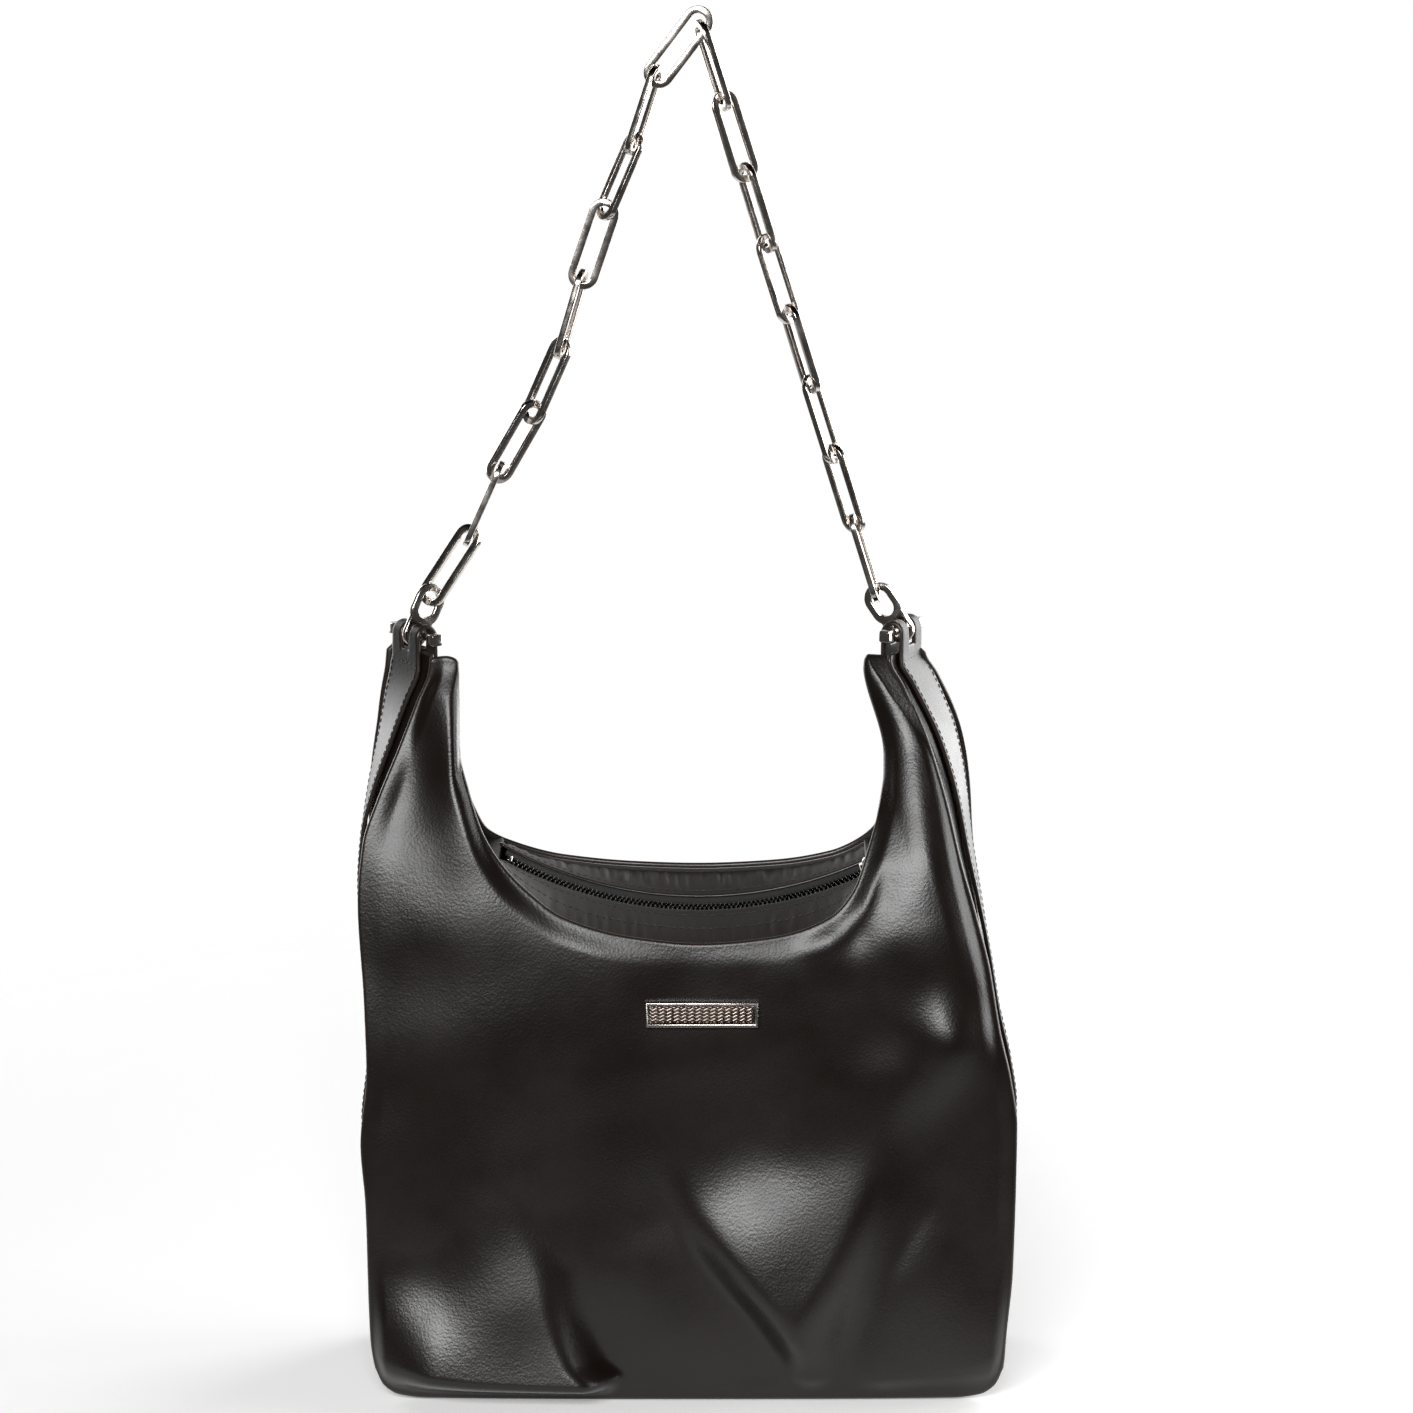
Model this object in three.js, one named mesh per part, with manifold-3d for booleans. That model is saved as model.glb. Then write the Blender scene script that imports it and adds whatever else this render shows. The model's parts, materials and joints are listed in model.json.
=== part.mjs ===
// Hobo bag: a soft leather body with a zipped, U-shaped mouth between two pointed horns,
// and a shoulder strap of flat-cut oval links hung from two metal rods.
// Millimetres, +Z up, +X to the wearer's right as the front faces -Y, origin on the floor
// under the middle of the bounding box.
import * as THREE from 'three';
import { mergeVertices } from 'three/addons/utils/BufferGeometryUtils.js';
import Module from 'manifold-3d';

const wasm = await Module();
wasm.setup();

// ---------------------------------------------------------------- driving dimensions
const GAP = 0.35; // air between neighbouring pieces
const LEATHER = 2.4; // two glued layers of the outer leather
const GUSSET_LEATHER = 2.0;
const LINING_CLOTH = 1.2;

// Centre of each side strap's outer layer, from the base up: [height, x, y, turn], where
// turn is how far its outward face has twisted from the side towards the front, in degrees.
const SIDES = {
  left: {
    sign: -1,
    rows: [
      [3, -128.5, 0, 0],
      [6, -134, 0, 0],
      [10, -138, 0, 0],
      [15, -140.5, 0, 0],
      [30, -142.5, 0, 0],
      [90, -143.8, 0, 0],
      [117, -145.6, 0, 0],
      [150, -142.6, 0, 0],
      [180, -143.4, 0, 0],
      [225, -146, 0, 0],
      [250, -144.4, 0, 1],
      [268, -140.8, 0, 6],
      [292, -134, -0.6, 16],
      [310, -129, -1.4, 26],
      [322, -125.3, -2.3, 33],
      [328, -124.65, -2.46, 34],
      [345, -124.65, -2.46, 34],
    ],
    rod: new THREE.Vector3(-121, 0, 337),
    ringLean: 28,
  },
  right: {
    sign: 1,
    rows: [
      [3, 128.5, 0, 0],
      [6, 134, 0, 0],
      [10, 138, 0, 0],
      [15, 139.8, 0, 0],
      [30, 141, 0, 0],
      [60, 143.5, 0, 0],
      [126, 144.6, 0, 0],
      [147, 141.8, 0, 0],
      [168, 137, 0, 0],
      [193, 132.8, 0, 0],
      [222, 127.5, 0, 3],
      [240, 124, 0, 6],
      [268, 119.5, -0.2, 12],
      [292, 113.5, -0.8, 19],
      [317, 102.6, -1.6, 24.5],
      [328, 97, -1.86, 25],
      [345, 97, -1.86, 25],
    ],
    rod: new THREE.Vector3(93, 0, 339),
    ringLean: 38.3,
  },
};

// Half the depth of the bag along its side panels: [height, half depth].
const HALF_DEPTH = [
  [0, 48],
  [110, 48.5],
  [160, 47],
  [200, 42],
  [240, 36],
  [270, 29],
  [300, 21.5],
  [320, 18.6],
  [345, 18.2],
];
// The front and back leather along the middle of the bag: [height, y].
const FRONT_MIDDLE = [
  [0, -49],
  [50, -54],
  [100, -56],
  [150, -54],
  [190, -48.5],
  [207, -46],
  [240, -38],
  [270, -30],
  [300, -22.5],
  [340, -15.5],
];
const BACK_MIDDLE = [
  [0, 49],
  [50, 51],
  [100, 50],
  [150, 47],
  [200, 41.5],
  [223, 38],
  [240, 34.5],
  [270, 28],
  [300, 21.5],
  [340, 15.5],
];
const EDGE_POWER = 3; // how square the body is in plan
const EDGE_DECAY = 4; // how fast a side seam's curve fades towards the middle

// Bottom edge of both large panels and the two mouth rims: [share of width, x, z].
const HEM = [
  [0, -139, 15],
  [0.02, -135.5, 7.5],
  [0.05, -129, 3.4],
  [0.1, -117, 2],
  [0.5, 0, 1.6],
  [0.9, 117, 2],
  [0.95, 129, 3.4],
  [0.98, 135.5, 7.5],
  [1, 139, 15],
];
const FRONT_RIM = [
  [0, -115, 327],
  [0.03, -110.5, 331],
  [0.07, -105.6, 325],
  [0.11, -103.8, 292],
  [0.14, -99, 273],
  [0.17, -92.4, 254.5],
  [0.21, -82.7, 240],
  [0.25, -70.8, 228.5],
  [0.3, -57.2, 219],
  [0.41, -25, 210],
  [0.52, 4.4, 207.3],
  [0.63, 37, 210],
  [0.74, 64, 219],
  [0.785, 75.2, 231],
  [0.82, 80.4, 247],
  [0.85, 84, 262],
  [0.88, 86, 280],
  [0.92, 86.5, 305],
  [0.97, 88.5, 329],
  [1, 92, 327],
];
const BACK_RIM = [
  [0, -131, 327],
  [0.03, -126, 331],
  [0.07, -119, 325],
  [0.11, -111, 295],
  [0.15, -103, 270],
  [0.18, -97, 252],
  [0.21, -91, 240.3],
  [0.26, -77.4, 233],
  [0.32, -57, 227.3],
  [0.42, -25, 224],
  [0.52, 4.4, 223],
  [0.63, 37, 224.5],
  [0.73, 64, 229],
  [0.79, 83.6, 240.8],
  [0.83, 90, 254],
  [0.87, 94, 272],
  [0.91, 96, 297],
  [0.96, 98, 326],
  [0.98, 101, 331],
  [1, 106, 327],
];

const GUSSET_FOOT = 3.2;
const GUSSET_TOP = 318;
const STRAP_HALF_WIDTH = 12.2;
const STRAP_FOOT = 16;
const STRAP_INSET = LEATHER / 2 + 2 * GAP + GUSSET_LEATHER / 2; // strap to gusset layer
const FOLD_RADIUS = 4.4; // rod centre to the middle of the folded leather
const FOLD_TAIL = 13; // how far the folded end comes down inside
const FOLD_LEATHER = 2.2;
const SLOT_WIDTH = 5.6;
const SLOT_DEPTH = 8;

const ROD_RADIUS = 1.5;
const ROD_HALF_LENGTH = 13.2;
const ROD_SIDES = 12;
const CAP_SIDE = 5;
const CAP_LENGTH = 5.6;
const CAP_EDGE = 0.5;

// Figure-of-eight ring: a window for the chain above, and a tail loop around the rod below.
// Heights are from the rod's centre.
const RING = { width: 14.6, thick: 2.6, top: 23.7, bar: 3.3, windowFoot: 8 };
const TAIL = { radius: 5.9, bar: 2.6, holeHeight: 1 };
const LINK = { length: 41.2, width: 13.3, bar: 3.2, thick: 2.6 };
const LINK_ARC_STEPS = 3;

// The chain hangs in one upright plane. Each run lists its interlock points, [x, z], and how
// far the face of each link between them is turned to the right, in degrees. The left run
// goes up from its ring to the top, and the right run down from the top to its ring.
const CHAIN_Y = 5.04;
const LEFT_RUN = {
  points: [
    [-113.5, 354],
    [-96.9, 379.4],
    [-83.6, 408.9],
    [-68.7, 434.6],
    [-56.2, 462.6],
    [-47.1, 493.2],
    [-36.4, 524],
    [-24.2, 552.4],
    [-14.8, 580.9],
    [5.2, 606.9],
  ],
  turns: [-36, 87, 30, -50, 76, 2, -56, 67, 0],
};
const RIGHT_RUN = {
  points: [
    [4.8, 601.2],
    [14.6, 570.7],
    [24.2, 539.8],
    [33.8, 508.9],
    [43.5, 478],
    [53, 447.2],
    [62.7, 416.3],
    [72.3, 385.4],
    [81.9, 354.5],
  ],
  turns: [-68, 30, -58, 42, -60, 58, -48, 80],
};

const ZIP = { centreX: 4, radius: 175, foot: 213, halfAngle: 29.5, teethHalfAngle: 28.2 };
const TEETH = { inner: 0.8, outer: 2.1, height: 2.2 };
const TAPE = { inner: 2.45, outer: 8.4, height: 0.8 };
const STOP = { length: 2, halfWidth: 2.1, height: 2.6, pastTeeth: 0.6 };
const FACING_EDGE = 8.9;
const FACING_LEATHER = 1.6;
const FACING_DROP = 3; // below the top of the rim it is sewn inside
const FACING_CLEAR = 1.15; // air between a facing and the panel it is sewn inside
const FACING_LEFT = -84;
const FACING_RIGHT = 78;
const SLIDER = { length: 9, halfWidth: 4, plate: 1.2, inside: 3, bridge: 0.9, angle: 26 };
const WELD = 0.3; // how far joined parts of one cast piece run into each other
const CROWN = { radius: 2.7, hole: 1.25, height: 1.9, thick: 1.2, endAngle: 0.5, footHeight: 1 };
const PULL = { length: 21, halfWidth: 2.9, neckHalf: 2.32, thick: 1, bar: 0.6, lift: 8 };
const PULL_WINDOW = { end: 3.3, half: 1.5 };

const BASE = { halfX: 121, halfY: 45, corner: 12, foot: 2.5, thick: 2 };
const BOARD = { halfX: 119, halfY: 42, corner: 10, foot: 4.9, thick: 2.4 };
const FOOT = { x: 76, y: 37, radius: 6.5, height: 2.1 };

const LINING_FOOT = 7.8;
const LINING_TOP = 198;
const LINING_FROM_LEATHER = 1.4;
const LINING_SIDE_INSET = 6;
const POCKET = { halfX: 75, foot: 62, top: 158, fromBack: 7.6, cloth: 1.4 };

const PLATE = { x: 5.3, z: 177.5, width: 49, height: 10.6, thick: 1.8, frame: 1.2, field: 0.9 };
const PLATE_CLEAR = 0.7; // behind the plate, over the leather's bulge

// ---------------------------------------------------------------- materials
const material = (colour, roughness, metalness = 0) =>
  new THREE.MeshStandardMaterial({ color: colour, roughness, metalness });
const LEATHER_BLACK = material(0x241d1b, 0.42);
const FACING_BLACK = material(0x2b2320, 0.48);
const LINING_DARK = material(0x3a3330, 0.9);
const BOARD_GREY = material(0x55504c, 0.85);
const TAPE_BLACK = material(0x171414, 0.9);
const TEETH_BLACK = material(0x2a2727, 0.45, 0.6);
const STEEL = material(0xd8d3cc, 0.16, 1);

const bag = new THREE.Group();

const addPiece = (name, geometry, look) => {
  const mesh = new THREE.Mesh(geometry, look.clone());
  mesh.name = name;
  bag.add(mesh);
  return mesh;
};

// ---------------------------------------------------------------- shared helpers
const { lerp, clamp, degToRad } = THREE.MathUtils;

// The row of a table at a value of its first column, straight between its rows.
const rowAt = (rows, value) => {
  let i = 0;
  while (i < rows.length - 2 && value > rows[i + 1][0]) i += 1;
  const share = clamp((value - rows[i][0]) / (rows[i + 1][0] - rows[i][0]), 0, 1);
  return rows[i].map((cell, column) => lerp(cell, rows[i + 1][column], share));
};

const signedVolume = (geometry) => {
  const p = geometry.attributes.position;
  const order = geometry.index;
  const [a, b, c] = [new THREE.Vector3(), new THREE.Vector3(), new THREE.Vector3()];
  let sum = 0;
  for (let i = 0; i < order.count; i += 3) {
    a.fromBufferAttribute(p, order.getX(i));
    b.fromBufferAttribute(p, order.getX(i + 1));
    c.fromBufferAttribute(p, order.getX(i + 2));
    sum += a.dot(b.cross(c));
  }
  return sum / 6;
};

// A geometry of positions only, with shared corners and every face outwards.
const closed = (geometry) => {
  const bare = new THREE.BufferGeometry();
  bare.setAttribute('position', geometry.attributes.position.clone());
  if (geometry.index) bare.setIndex(geometry.index.clone());
  const merged = mergeVertices(bare, 1e-4);
  if (signedVolume(merged) < 0) {
    const order = merged.index;
    for (let i = 0; i < order.count; i += 3) {
      const second = order.getX(i + 1);
      order.setX(i + 1, order.getX(i + 2));
      order.setX(i + 2, second);
    }
  }
  merged.computeVertexNormals();
  return merged;
};

// A unit box, cut into steps, with every corner moved by map(u, v, w), each from 0 to 1.
const shapedBox = (uSteps, vSteps, wSteps, map) => {
  const box = new THREE.BoxGeometry(1, 1, 1, uSteps, vSteps, wSteps);
  const p = box.attributes.position;
  for (let i = 0; i < p.count; i += 1) {
    const q = map(p.getX(i) + 0.5, p.getY(i) + 0.5, p.getZ(i) + 0.5);
    p.setXYZ(i, q.x, q.y, q.z);
  }
  return closed(box);
};

// A sheet of leather or cloth around the surface surface(u, v).
const sheet = (uSteps, vSteps, thickness, surface) => {
  const STEP = 1e-3;
  return shapedBox(uSteps, vSteps, 1, (u, v, w) => {
    const [u0, u1] = [Math.max(u - STEP, 0), Math.min(u + STEP, 1)];
    const [v0, v1] = [Math.max(v - STEP, 0), Math.min(v + STEP, 1)];
    const along = surface(u1, v).sub(surface(u0, v));
    const up = surface(u, v1).sub(surface(u, v0));
    const normal = along.cross(up).normalize();
    return surface(u, v).addScaledVector(normal, (w - 0.5) * thickness);
  });
};

const toManifold = (geometry) => {
  const g = closed(geometry);
  return new wasm.Manifold(
    new wasm.Mesh({
      numProp: 3,
      vertProperties: new Float32Array(g.attributes.position.array),
      triVerts: new Uint32Array(g.index.array),
    }),
  );
};

const fromManifold = (solid) => {
  const mesh = solid.getMesh();
  const g = new THREE.BufferGeometry();
  g.setAttribute('position', new THREE.BufferAttribute(new Float32Array(mesh.vertProperties), 3));
  g.setIndex(new THREE.BufferAttribute(new Uint32Array(mesh.triVerts), 1));
  return closed(g);
};

const joined = (a, b) => fromManifold(toManifold(a).add(toManifold(b)));
const cut = (a, b) => fromManifold(toManifold(a).subtract(toManifold(b)));

const roundedRectangle = (halfX, halfY, corner) => {
  const shape = new THREE.Shape();
  shape.absarc(halfX - corner, halfY - corner, corner, 0, Math.PI / 2);
  shape.absarc(corner - halfX, halfY - corner, corner, Math.PI / 2, Math.PI);
  shape.absarc(corner - halfX, corner - halfY, corner, Math.PI, 1.5 * Math.PI);
  shape.absarc(halfX - corner, corner - halfY, corner, 1.5 * Math.PI, 2 * Math.PI);
  return shape;
};

const slab = (shape, depth, curveSegments = 4) =>
  new THREE.ExtrudeGeometry(shape, { depth, bevelEnabled: false, curveSegments });

// ---------------------------------------------------------------- the soft body
// A point on a side of the bag: across runs from front (-) to back (+) and out is measured
// outwards from the middle of the strap's leather.
const sidePoint = (side, z, across, out) => {
  const [, x, y, turn] = rowAt(side.rows, z);
  const t = degToRad(turn);
  return new THREE.Vector3(
    x + side.sign * (Math.sin(t) * across + Math.cos(t) * out),
    y + Math.cos(t) * across - Math.sin(t) * out,
    z,
  );
};

const halfDepth = (z) => rowAt(HALF_DEPTH, z)[1];
const SEAM_OUT = GUSSET_LEATHER / 2 - STRAP_INSET;
const seamPoint = (side, z, back) => sidePoint(side, z, back * halfDepth(z), SEAM_OUT);

// y of the middle of the front (back = -1) or back (back = 1) leather.
const panelY = (x, z, back) => {
  const left = seamPoint(SIDES.left, z, back);
  const right = seamPoint(SIDES.right, z, back);
  const middle = rowAt(back < 0 ? FRONT_MIDDLE : BACK_MIDDLE, z)[1];
  const share = clamp((x - left.x) / (right.x - left.x), 0, 1);
  const fromMiddle = Math.abs(2 * share - 1) ** EDGE_POWER;
  return lerp(middle, lerp(left.y, right.y, share), fromMiddle);
};

const panelSurface = (rim, back) => (s, t) => {
  const [, hemX, hemZ] = rowAt(HEM, s);
  const [, rimX, rimZ] = rowAt(rim, s);
  const z = lerp(hemZ, rimZ, t);
  let x = lerp(hemX, rimX, t);
  for (const [side, share] of [[SIDES.left, 0], [SIDES.right, 1]]) {
    const [, endHemX, endHemZ] = rowAt(HEM, share);
    const [, endRimX, endRimZ] = rowAt(rim, share);
    const seamX = seamPoint(side, lerp(endHemZ, endRimZ, t), back).x;
    x += (seamX - lerp(endHemX, endRimX, t)) * (1 - Math.abs(s - share)) ** EDGE_DECAY;
  }
  return new THREE.Vector3(x, panelY(x, z, back), z);
};

// Steps across a panel that follow its rim closely at the horns.
const PANEL_STEPS = 20;
const PANEL_ROWS = 9;
const HORN_SHARE = 0.3;
const HORN_STEPS = 0.4;
const spreadStep = (u) => {
  if (u < HORN_STEPS) return (u / HORN_STEPS) * HORN_SHARE;
  if (u > 1 - HORN_STEPS) return 1 - ((1 - u) / HORN_STEPS) * HORN_SHARE;
  return lerp(HORN_SHARE, 1 - HORN_SHARE, (u - HORN_STEPS) / (1 - 2 * HORN_STEPS));
};

for (const [name, rim, back] of [['front_panel', FRONT_RIM, -1], ['back_panel', BACK_RIM, 1]]) {
  const surface = panelSurface(rim, back);
  const panel = sheet(PANEL_STEPS, PANEL_ROWS, LEATHER, (u, v) => surface(spreadStep(u), v));
  addPiece(name, panel, LEATHER_BLACK);
}

const GUSSET_MARGIN = LEATHER / 2 + 1.5; // room for the large panels' leather at its edges
// The heights at which a side's table bends, so that its layers all bend together.
const bendHeights = (side, low, high) => [
  low,
  ...side.rows.map(([z]) => z).filter((z) => z > low + 1 && z < high - 1),
  high,
];
const stepAlong = (values, share) => {
  const place = clamp(share, 0, 1) * (values.length - 1);
  const i = Math.min(Math.floor(place), values.length - 2);
  return lerp(values[i], values[i + 1], place - i);
};

const rodDirection = (side) => {
  const t = degToRad(rowAt(side.rows, side.rod.z)[3]);
  return new THREE.Vector3(side.sign * Math.sin(t), Math.cos(t), 0);
};
const outwards = (side) => {
  const t = degToRad(rowAt(side.rows, side.rod.z)[3]);
  return new THREE.Vector3(side.sign * Math.cos(t), -Math.sin(t), 0);
};

// The strap's leather up the side, over the rod and down inside, step by step.
const FOLD_STEPS = 6;
const strapPoint = (side, step, across) => {
  const heights = bendHeights(side, STRAP_FOOT, side.rod.z);
  const upSteps = heights.length - 1;
  if (step < upSteps) return sidePoint(side, stepAlong(heights, step / upSteps), across, 0);
  const over = clamp((step - upSteps) / FOLD_STEPS, 0, 1);
  const down = clamp(step - upSteps - FOLD_STEPS, 0, 1);
  return side.rod
    .clone()
    .addScaledVector(outwards(side), FOLD_RADIUS * Math.cos(Math.PI * over))
    .addScaledVector(rodDirection(side), across)
    .add(new THREE.Vector3(0, 0, FOLD_RADIUS * Math.sin(Math.PI * over) - FOLD_TAIL * down));
};

// A frame at a rod: x along the rod to the back, y inwards to the bag, z up.
const rodFrame = (side) =>
  new THREE.Matrix4()
    .makeBasis(rodDirection(side), outwards(side).negate(), new THREE.Vector3(0, 0, side.sign))
    .setPosition(side.rod);

for (const [name, side] of Object.entries(SIDES)) {
  // Columns at the seams, the strap's edges and the middle, so that both layers twist alike.
  const reach = (z) => halfDepth(z) - GUSSET_MARGIN;
  const columns = (z) => [-reach(z), -STRAP_HALF_WIDTH, 0, STRAP_HALF_WIDTH, reach(z)];
  const rows = bendHeights(side, GUSSET_FOOT, GUSSET_TOP);
  const gusset = sheet(4, rows.length - 1, GUSSET_LEATHER, (u, v) => {
    const z = stepAlong(rows, v);
    return sidePoint(side, z, stepAlong(columns(z), u), -STRAP_INSET);
  });
  addPiece(`${name}_gusset`, gusset, LEATHER_BLACK);

  const steps = bendHeights(side, STRAP_FOOT, side.rod.z).length + FOLD_STEPS;
  const band = sheet(2, steps, FOLD_LEATHER, (u, r) =>
    strapPoint(side, r * steps, lerp(-STRAP_HALF_WIDTH, STRAP_HALF_WIDTH, u)));
  const slot = new THREE.BoxGeometry(SLOT_WIDTH, 4 * SLOT_DEPTH, 2 * SLOT_DEPTH);
  slot.applyMatrix4(rodFrame(side));
  addPiece(`${name}_strap`, cut(band, slot), LEATHER_BLACK);
}

// ---------------------------------------------------------------- base and feet
const base = slab(roundedRectangle(BASE.halfX, BASE.halfY, BASE.corner), BASE.thick);
addPiece('base_panel', base, LEATHER_BLACK).position.z = BASE.foot;
const board = slab(roundedRectangle(BOARD.halfX, BOARD.halfY, BOARD.corner), BOARD.thick);
addPiece('base_board', board, BOARD_GREY).position.z = BOARD.foot;

const FOOT_PROFILE = [[0, 0], [0.62, 0], [0.9, 0.3], [1, 0.7], [1, 1], [0, 1]].map(
  ([r, z]) => new THREE.Vector2(r * FOOT.radius, z * FOOT.height),
);
const FOOT_SIDES = 12;
for (const [depthName, y] of [['front', -FOOT.y], ['back', FOOT.y]]) {
  for (const [sideName, x] of [['left', -FOOT.x], ['right', FOOT.x]]) {
    const foot = new THREE.LatheGeometry(FOOT_PROFILE, FOOT_SIDES).rotateX(Math.PI / 2);
    addPiece(`foot_${depthName}_${sideName}`, closed(foot), STEEL).position.set(x, y, 0);
  }
}

// ---------------------------------------------------------------- lining and pocket
// The inside of the body, as a solid block that stands inset from the leather.
const LINING_CLEAR = LEATHER / 2 + LINING_FROM_LEATHER;
const liningBlock = (shrink, foot, top) =>
  shapedBox(8, 3, 6, (u, v, w) => {
    const z = lerp(foot, top, w);
    const inset = LINING_SIDE_INSET + shrink;
    const left = seamPoint(SIDES.left, z, 0).x + inset;
    const right = seamPoint(SIDES.right, z, 0).x - inset;
    const x = lerp(left, right, u);
    const front = panelY(x, z, -1) + LINING_CLEAR + shrink;
    const back = panelY(x, z, 1) - LINING_CLEAR - shrink;
    return new THREE.Vector3(x, lerp(front, back, v), z);
  });
const liningOuter = liningBlock(0, LINING_FOOT, LINING_TOP);
const liningInner = liningBlock(LINING_CLOTH, LINING_FOOT + LINING_CLOTH, 1.05 * LINING_TOP);
addPiece('lining', cut(liningOuter, liningInner), LINING_DARK);

const pocket = sheet(4, 3, POCKET.cloth, (u, v) => {
  const x = ZIP.centreX + lerp(-POCKET.halfX, POCKET.halfX, u);
  const z = lerp(POCKET.foot, POCKET.top, v);
  return new THREE.Vector3(x, panelY(x, z, 1) - POCKET.fromBack, z);
});
addPiece('inner_pocket', pocket, LINING_DARK);

// ---------------------------------------------------------------- zip
const ZIP_CENTRE = new THREE.Vector3(ZIP.centreX, 0, ZIP.foot + ZIP.radius);
// A point of the zip: angle in degrees to the right of the lowest point, y across it, and
// rise above its middle surface.
const zipPoint = (angle, y, rise) => {
  const a = degToRad(angle);
  const r = ZIP.radius - rise;
  return new THREE.Vector3(ZIP_CENTRE.x + r * Math.sin(a), y, ZIP_CENTRE.z - r * Math.cos(a));
};
const zipHeight = (x) =>
  ZIP_CENTRE.z - Math.sqrt(ZIP.radius ** 2 - (x - ZIP_CENTRE.x) ** 2);

const FACING_STEPS = 16;
const zipStrip = (halfAngle, inner, outer, height, back) =>
  shapedBox(FACING_STEPS, 1, 1, (u, v, w) =>
    zipPoint(lerp(-halfAngle, halfAngle, u), back * lerp(inner, outer, v), (w - 0.5) * height));

// The rim's height over x, where the facing is sewn inside it.
const rimHeight = (rim, x) => rowAt(rim.map(([, rx, rz]) => [rx, rz]), x)[1];
for (const [name, rim, back] of [['front', FRONT_RIM, -1], ['back', BACK_RIM, 1]]) {
  const facing = sheet(FACING_STEPS, 2, FACING_LEATHER, (u, v) => {
    const x = lerp(FACING_LEFT, FACING_RIGHT, u);
    const z = lerp(rimHeight(rim, x) - FACING_DROP, zipHeight(x), v);
    const rimY = panelY(x, z, back) - back * (LEATHER / 2 + FACING_LEATHER / 2 + FACING_CLEAR);
    return new THREE.Vector3(x, lerp(rimY, back * FACING_EDGE, v), z);
  });
  addPiece(`${name}_facing`, facing, FACING_BLACK);
  const tape = zipStrip(ZIP.halfAngle, TAPE.inner, TAPE.outer, TAPE.height, back);
  addPiece(`zip_tape_${name}`, tape, TAPE_BLACK);
  const teeth = zipStrip(ZIP.teethHalfAngle, TEETH.inner, TEETH.outer, TEETH.height, back);
  addPiece(`zip_teeth_${name}`, teeth, TEETH_BLACK);
}

const placeOnZip = (mesh, angle) => {
  mesh.position.copy(zipPoint(angle, 0, 0));
  mesh.rotation.y = -degToRad(angle);
};
for (const [name, end] of [['left', -1], ['right', 1]]) {
  const stop = new THREE.BoxGeometry(STOP.length, 2 * STOP.halfWidth, STOP.height);
  placeOnZip(addPiece(`zip_stop_${name}`, stop, STEEL), end * (ZIP.teethHalfAngle + STOP.pastTeeth));
}

const sliderPlate = (rise) =>
  new THREE.BoxGeometry(SLIDER.length, 2 * SLIDER.halfWidth, SLIDER.plate).translate(0, 0, rise);
const plateRise = (SLIDER.inside + SLIDER.plate) / 2;
const bridge = new THREE.BoxGeometry(SLIDER.length / 2, SLIDER.bridge, SLIDER.inside + WELD);
const crownShape = new THREE.Shape();
crownShape.absarc(0, 0, CROWN.radius, -CROWN.endAngle, Math.PI + CROWN.endAngle);
const crownHole = new THREE.Path();
crownHole.absarc(0, 0, CROWN.hole, 0, 2 * Math.PI, true);
crownShape.holes.push(crownHole);
const CROWN_RISE = plateRise + SLIDER.plate / 2 + CROWN.height - WELD;
const CROWN_ARC_STEPS = 5;
const crown = slab(crownShape, CROWN.thick, CROWN_ARC_STEPS)
  .translate(0, 0, -CROWN.thick / 2)
  .rotateX(Math.PI / 2)
  .translate(0, 0, CROWN_RISE);
const crownFoot = new THREE.BoxGeometry(2 * (CROWN.radius - WELD), CROWN.thick, CROWN.footHeight)
  .translate(0, 0, plateRise + SLIDER.plate / 2);
let slider = joined(sliderPlate(plateRise), sliderPlate(-plateRise));
slider = joined(joined(joined(slider, bridge), crown), crownFoot);
placeOnZip(addPiece('zip_slider', slider, STEEL), SLIDER.angle);

const pullShape = new THREE.Shape();
pullShape.moveTo(-PULL.bar, -PULL.neckHalf);
pullShape.absarc(PULL.length - PULL.halfWidth, 0, PULL.halfWidth, -Math.PI / 2, Math.PI / 2);
pullShape.lineTo(-PULL.bar, PULL.neckHalf);
const pullPlate = slab(pullShape, PULL.thick, 2).translate(0, 0, -PULL.thick / 2);
const pullWindow = new THREE.BoxGeometry(
  PULL_WINDOW.end - PULL.bar,
  2 * PULL_WINDOW.half,
  2 * PULL.thick,
).translate((PULL_WINDOW.end + PULL.bar) / 2, 0, 0);
const pull = cut(pullPlate, pullWindow);
const pullMesh = addPiece('zip_pull', pull, STEEL);
pullMesh.position.copy(zipPoint(SLIDER.angle, 0, CROWN_RISE));
pullMesh.rotation.y = -degToRad(SLIDER.angle + PULL.lift);

// ---------------------------------------------------------------- nameplate
const plateY = (z) => panelY(PLATE.x, z, -1);
const plateLean = Math.atan2(
  plateY(PLATE.z + PLATE.height / 2) - plateY(PLATE.z - PLATE.height / 2),
  PLATE.height,
);
const placeOnFront = (mesh, out) => {
  const lift = LEATHER / 2 + out;
  mesh.position.set(
    PLATE.x,
    plateY(PLATE.z) - lift * Math.cos(plateLean),
    PLATE.z + lift * Math.sin(plateLean),
  );
  mesh.rotation.x = -plateLean;
};
const frameBox = new THREE.BoxGeometry(PLATE.width, PLATE.thick, PLATE.height);
const windowBox = new THREE.BoxGeometry(
  PLATE.width - 2 * PLATE.frame,
  2 * PLATE.thick,
  PLATE.height - 2 * PLATE.frame,
);
placeOnFront(
  addPiece('nameplate_frame', cut(frameBox, windowBox), STEEL),
  PLATE_CLEAR + PLATE.thick / 2,
);
const fieldBox = new THREE.BoxGeometry(
  PLATE.width - 2 * PLATE.frame - 2 * GAP,
  PLATE.field,
  PLATE.height - 2 * PLATE.frame - 2 * GAP,
);
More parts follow.
